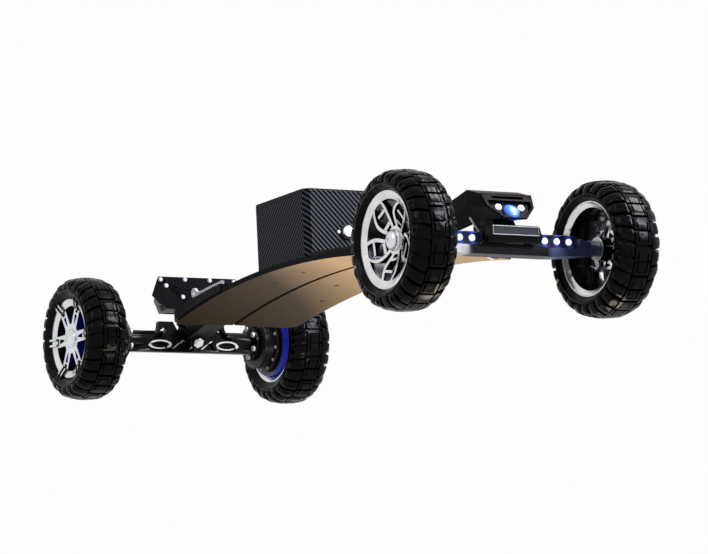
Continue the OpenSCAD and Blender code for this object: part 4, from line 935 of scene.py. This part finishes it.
def outlined_coat():
    coat = Finish("outlined_gloss_coat")
    y, z = coat.spot("yz")
    cloud = coat.noise(24, 4, 0.6)
    across, up = y / MM, z / MM - outline_z
    high = up / oval_half_h
    # The bright ovals and slanted strokes are painted highlights along the hanger's front
    line = 0
    for middle in oval_middles:
        wide = (across - middle) / oval_half_w
        radius = (wide * wide + high * high).root()
        line = (abs(radius - 1) < 0.17) + line
    for start in stroke_starts:
        off_line = abs(across - start - up * stroke_slope)
        line = (off_line < stroke_half) * (abs(high) < 1.1) + line
    line = line.clamp() * (coat.facing("x") > 0.1)
    black = coat.ramp(cloud, (0.3, (0.003, 0.003, 0.0035)), (0.72, (0.008, 0.007, 0.0065)))
    return coat.done(Base_Color=coat.mix(line, black, (0.62, 0.61, 0.59)), Roughness=0.1 + 0.12 * cloud,
                     Specular_IOR_Level=0.06, Normal=coat.bump(line, 0.0004, 0.4))

softened("rear_hanger", outlined_coat(), 0.9)


def urethane():
    amber = Finish("amber_urethane")
    cloud = amber.noise(60, 3)
    return amber.done(Base_Color=amber.ramp(cloud, (0.3, (0.5, 0.2, 0.04)), (0.7, (0.72, 0.34, 0.08))),
                      Roughness=0.3 + 0.15 * cloud, Normal=amber.bump(cloud, 0.0004, 0.3))


def bright_zinc():
    zinc = Finish("bright_zinc")
    flake = zinc.cells(260)
    cloud = zinc.noise(90)
    return zinc.done(Base_Color=zinc.ramp(cloud, (0.3, (0.5, 0.5, 0.52)), (0.7, (0.72, 0.72, 0.73))),
                     Metallic=1.0, Roughness=0.22 + 0.16 * cloud, Normal=zinc.bump(flake, 0.00006, 0.2))

dress(urethane(), "front_bushings", "rear_bushings")
zinc = bright_zinc()
dress(zinc, "front_axle", "rear_axle", "kingpins")
softened("front_axle_nuts", bright, 0.3)
softened("rear_axle_nuts", zinc, 0.3)


cover_back = -400

def capped_screws():
    screw = Finish("capped_screws")
    cloud = screw.noise(120)
    # Painted shade: screws under the deck take a dark colour so that they don't glint
    under_deck_painted_shade = screw.spot("x") / MM > cover_back
    pale = screw.ramp(cloud, (0.3, (0.7, 0.7, 0.72)), (0.7, (0.85, 0.85, 0.86)))
    return screw.done(Base_Color=screw.mix(under_deck_painted_shade, pale, (0.02, 0.018, 0.016)),
                      Roughness=0.3 + 0.12 * cloud, Specular_IOR_Level=0.03)

dress(capped_screws(), "housing_screws")


def black_oxide():
    oxide = Finish("black_oxide")
    stain = oxide.noise(300, 3)
    colour = oxide.ramp(stain, (0.3, (0.006, 0.005, 0.005)), (0.7, (0.02, 0.016, 0.014)))
    return oxide.done(Base_Color=colour, Roughness=0.4 + 0.2 * stain, Specular_IOR_Level=0.02)

dress(black_oxide(), "deck_bolts")
dress(white, "lamp_stays", "motor_bolts")
print("trucks are finished")

# %% [markdown]
# ## Headlamp, light bars and rear cover
# These housings are moulded in black plastic with a fine spark texture. The lens is a
# blue dome over a reflector. It glows a little, as well as reflects, so its material has a
# little emission. Its pale middle, a little above the centre, is a painted highlight, and
# the glow is strongest there. The light bars glow blue round their lamps. The plate on
# the front block is left bare, a brushed face inside a pale line.

# %% Housings and lenses
shell = powder_coat("black_moulding", (0.002, 0.002, 0.0025), (0.0055, 0.0055, 0.0065),
                    0.3, 0.02, 0.00015)
softened("lamp_housing", shell, 0.9)
softened("rear_cover", shell, 0.8)


lens_r, painted_highlight_rise = 12.5, 2

def blue_glass():
    glass = Finish("blue_lens")
    y, z = glass.spot("yz")
    low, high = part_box("lamp_lens")
    centre = (low + high) / 2
    aside = (y - centre.y) / (lens_r * MM)
    above = (z - centre.z - painted_highlight_rise * MM) / (lens_r * MM)
    far = (aside * aside + above * above).root()
    # The pale middle of this ramp is a painted highlight, and the emission follows it
    colour = glass.ramp(far, (0.0, (0.75, 0.9, 1.0)), (0.28, (0.22, 0.55, 1.0)), (0.62, (0.03, 0.2, 0.85)),
                        (1.0, (0.004, 0.03, 0.3)))
    return glass.done(Base_Color=colour, Emission_Color=colour, Emission_Strength=0.55, Roughness=0.06,
                      Coat_Weight=0.8, Coat_Roughness=0.02)

softened("lamp_lens", blue_glass(), 0.3)


first_lamp, lamp_pitch = 61, 20.5

def bar_lens():
    bar = Finish("blue_lit_bar")
    cloud = bar.noise(80)
    away = abs(((abs(bar.spot("y")) / MM - first_lamp) / lamp_pitch).share() - 0.5) * 2
    glow = away.band(0.35, 1.6)
    colour = bar.mix(glow, (0.006, 0.008, 0.03), (0.03, 0.06, 0.36))
    return bar.done(Base_Color=colour, Emission_Color=colour, Emission_Strength=0.35,
                    Roughness=0.16 + 0.1 * cloud, Specular_IOR_Level=0.2)

softened("light_bars", bar_lens(), 0.5)


plate_half_w, plate_half_h, plate_drop, frame_line = 38.5, 6.5, 8, 0.9

def block_finish():
    moulding = Finish("front_block_moulding")
    y, z = moulding.spot("yz")
    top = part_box("name_block")[1].z / MM
    from_side = plate_half_w - abs(y) / MM
    from_end = plate_half_h - abs(z / MM - top + plate_drop)
    border = from_side.least(from_end)
    plate = (border > 0) * (moulding.facing("x") > 0.5)
    line = plate * (border < frame_line)
    cloud = moulding.noise(60, 4, 0.6)
    brushed = moulding.noise(1, 3, 0.6, moulding.place(scale=(900, 30, 900)))
    dark = moulding.ramp(cloud, (0.3, (0.003, 0.003, 0.0035)), (0.7, (0.007, 0.007, 0.008)))
    face = moulding.ramp(brushed, (0.25, (0.022, 0.023, 0.026)), (0.75, (0.05, 0.052, 0.058)))
    colour = moulding.mix(line, moulding.mix(plate, dark, face), (0.34, 0.345, 0.36))
    return moulding.done(Base_Color=colour, Roughness=0.34 + 0.1 * cloud, Metallic=0.3 * plate,
                         Specular_IOR_Level=0.03, Normal=moulding.bump(cloud, 0.0002, 0.2))

softened("name_block", block_finish(), 0.5)


def anodised_grey():
    fins = Finish("anodised_fins")
    cloud = fins.noise(90)
    grey = fins.ramp(cloud, (0.3, (0.008, 0.008, 0.009)), (0.7, (0.018, 0.018, 0.02)))
    return fins.done(Base_Color=grey, Metallic=0.1, Roughness=0.34 + 0.1 * cloud,
                     Specular_IOR_Level=0.04)

softened("controller", anodised_grey(), 0.3)
print("housings are finished")
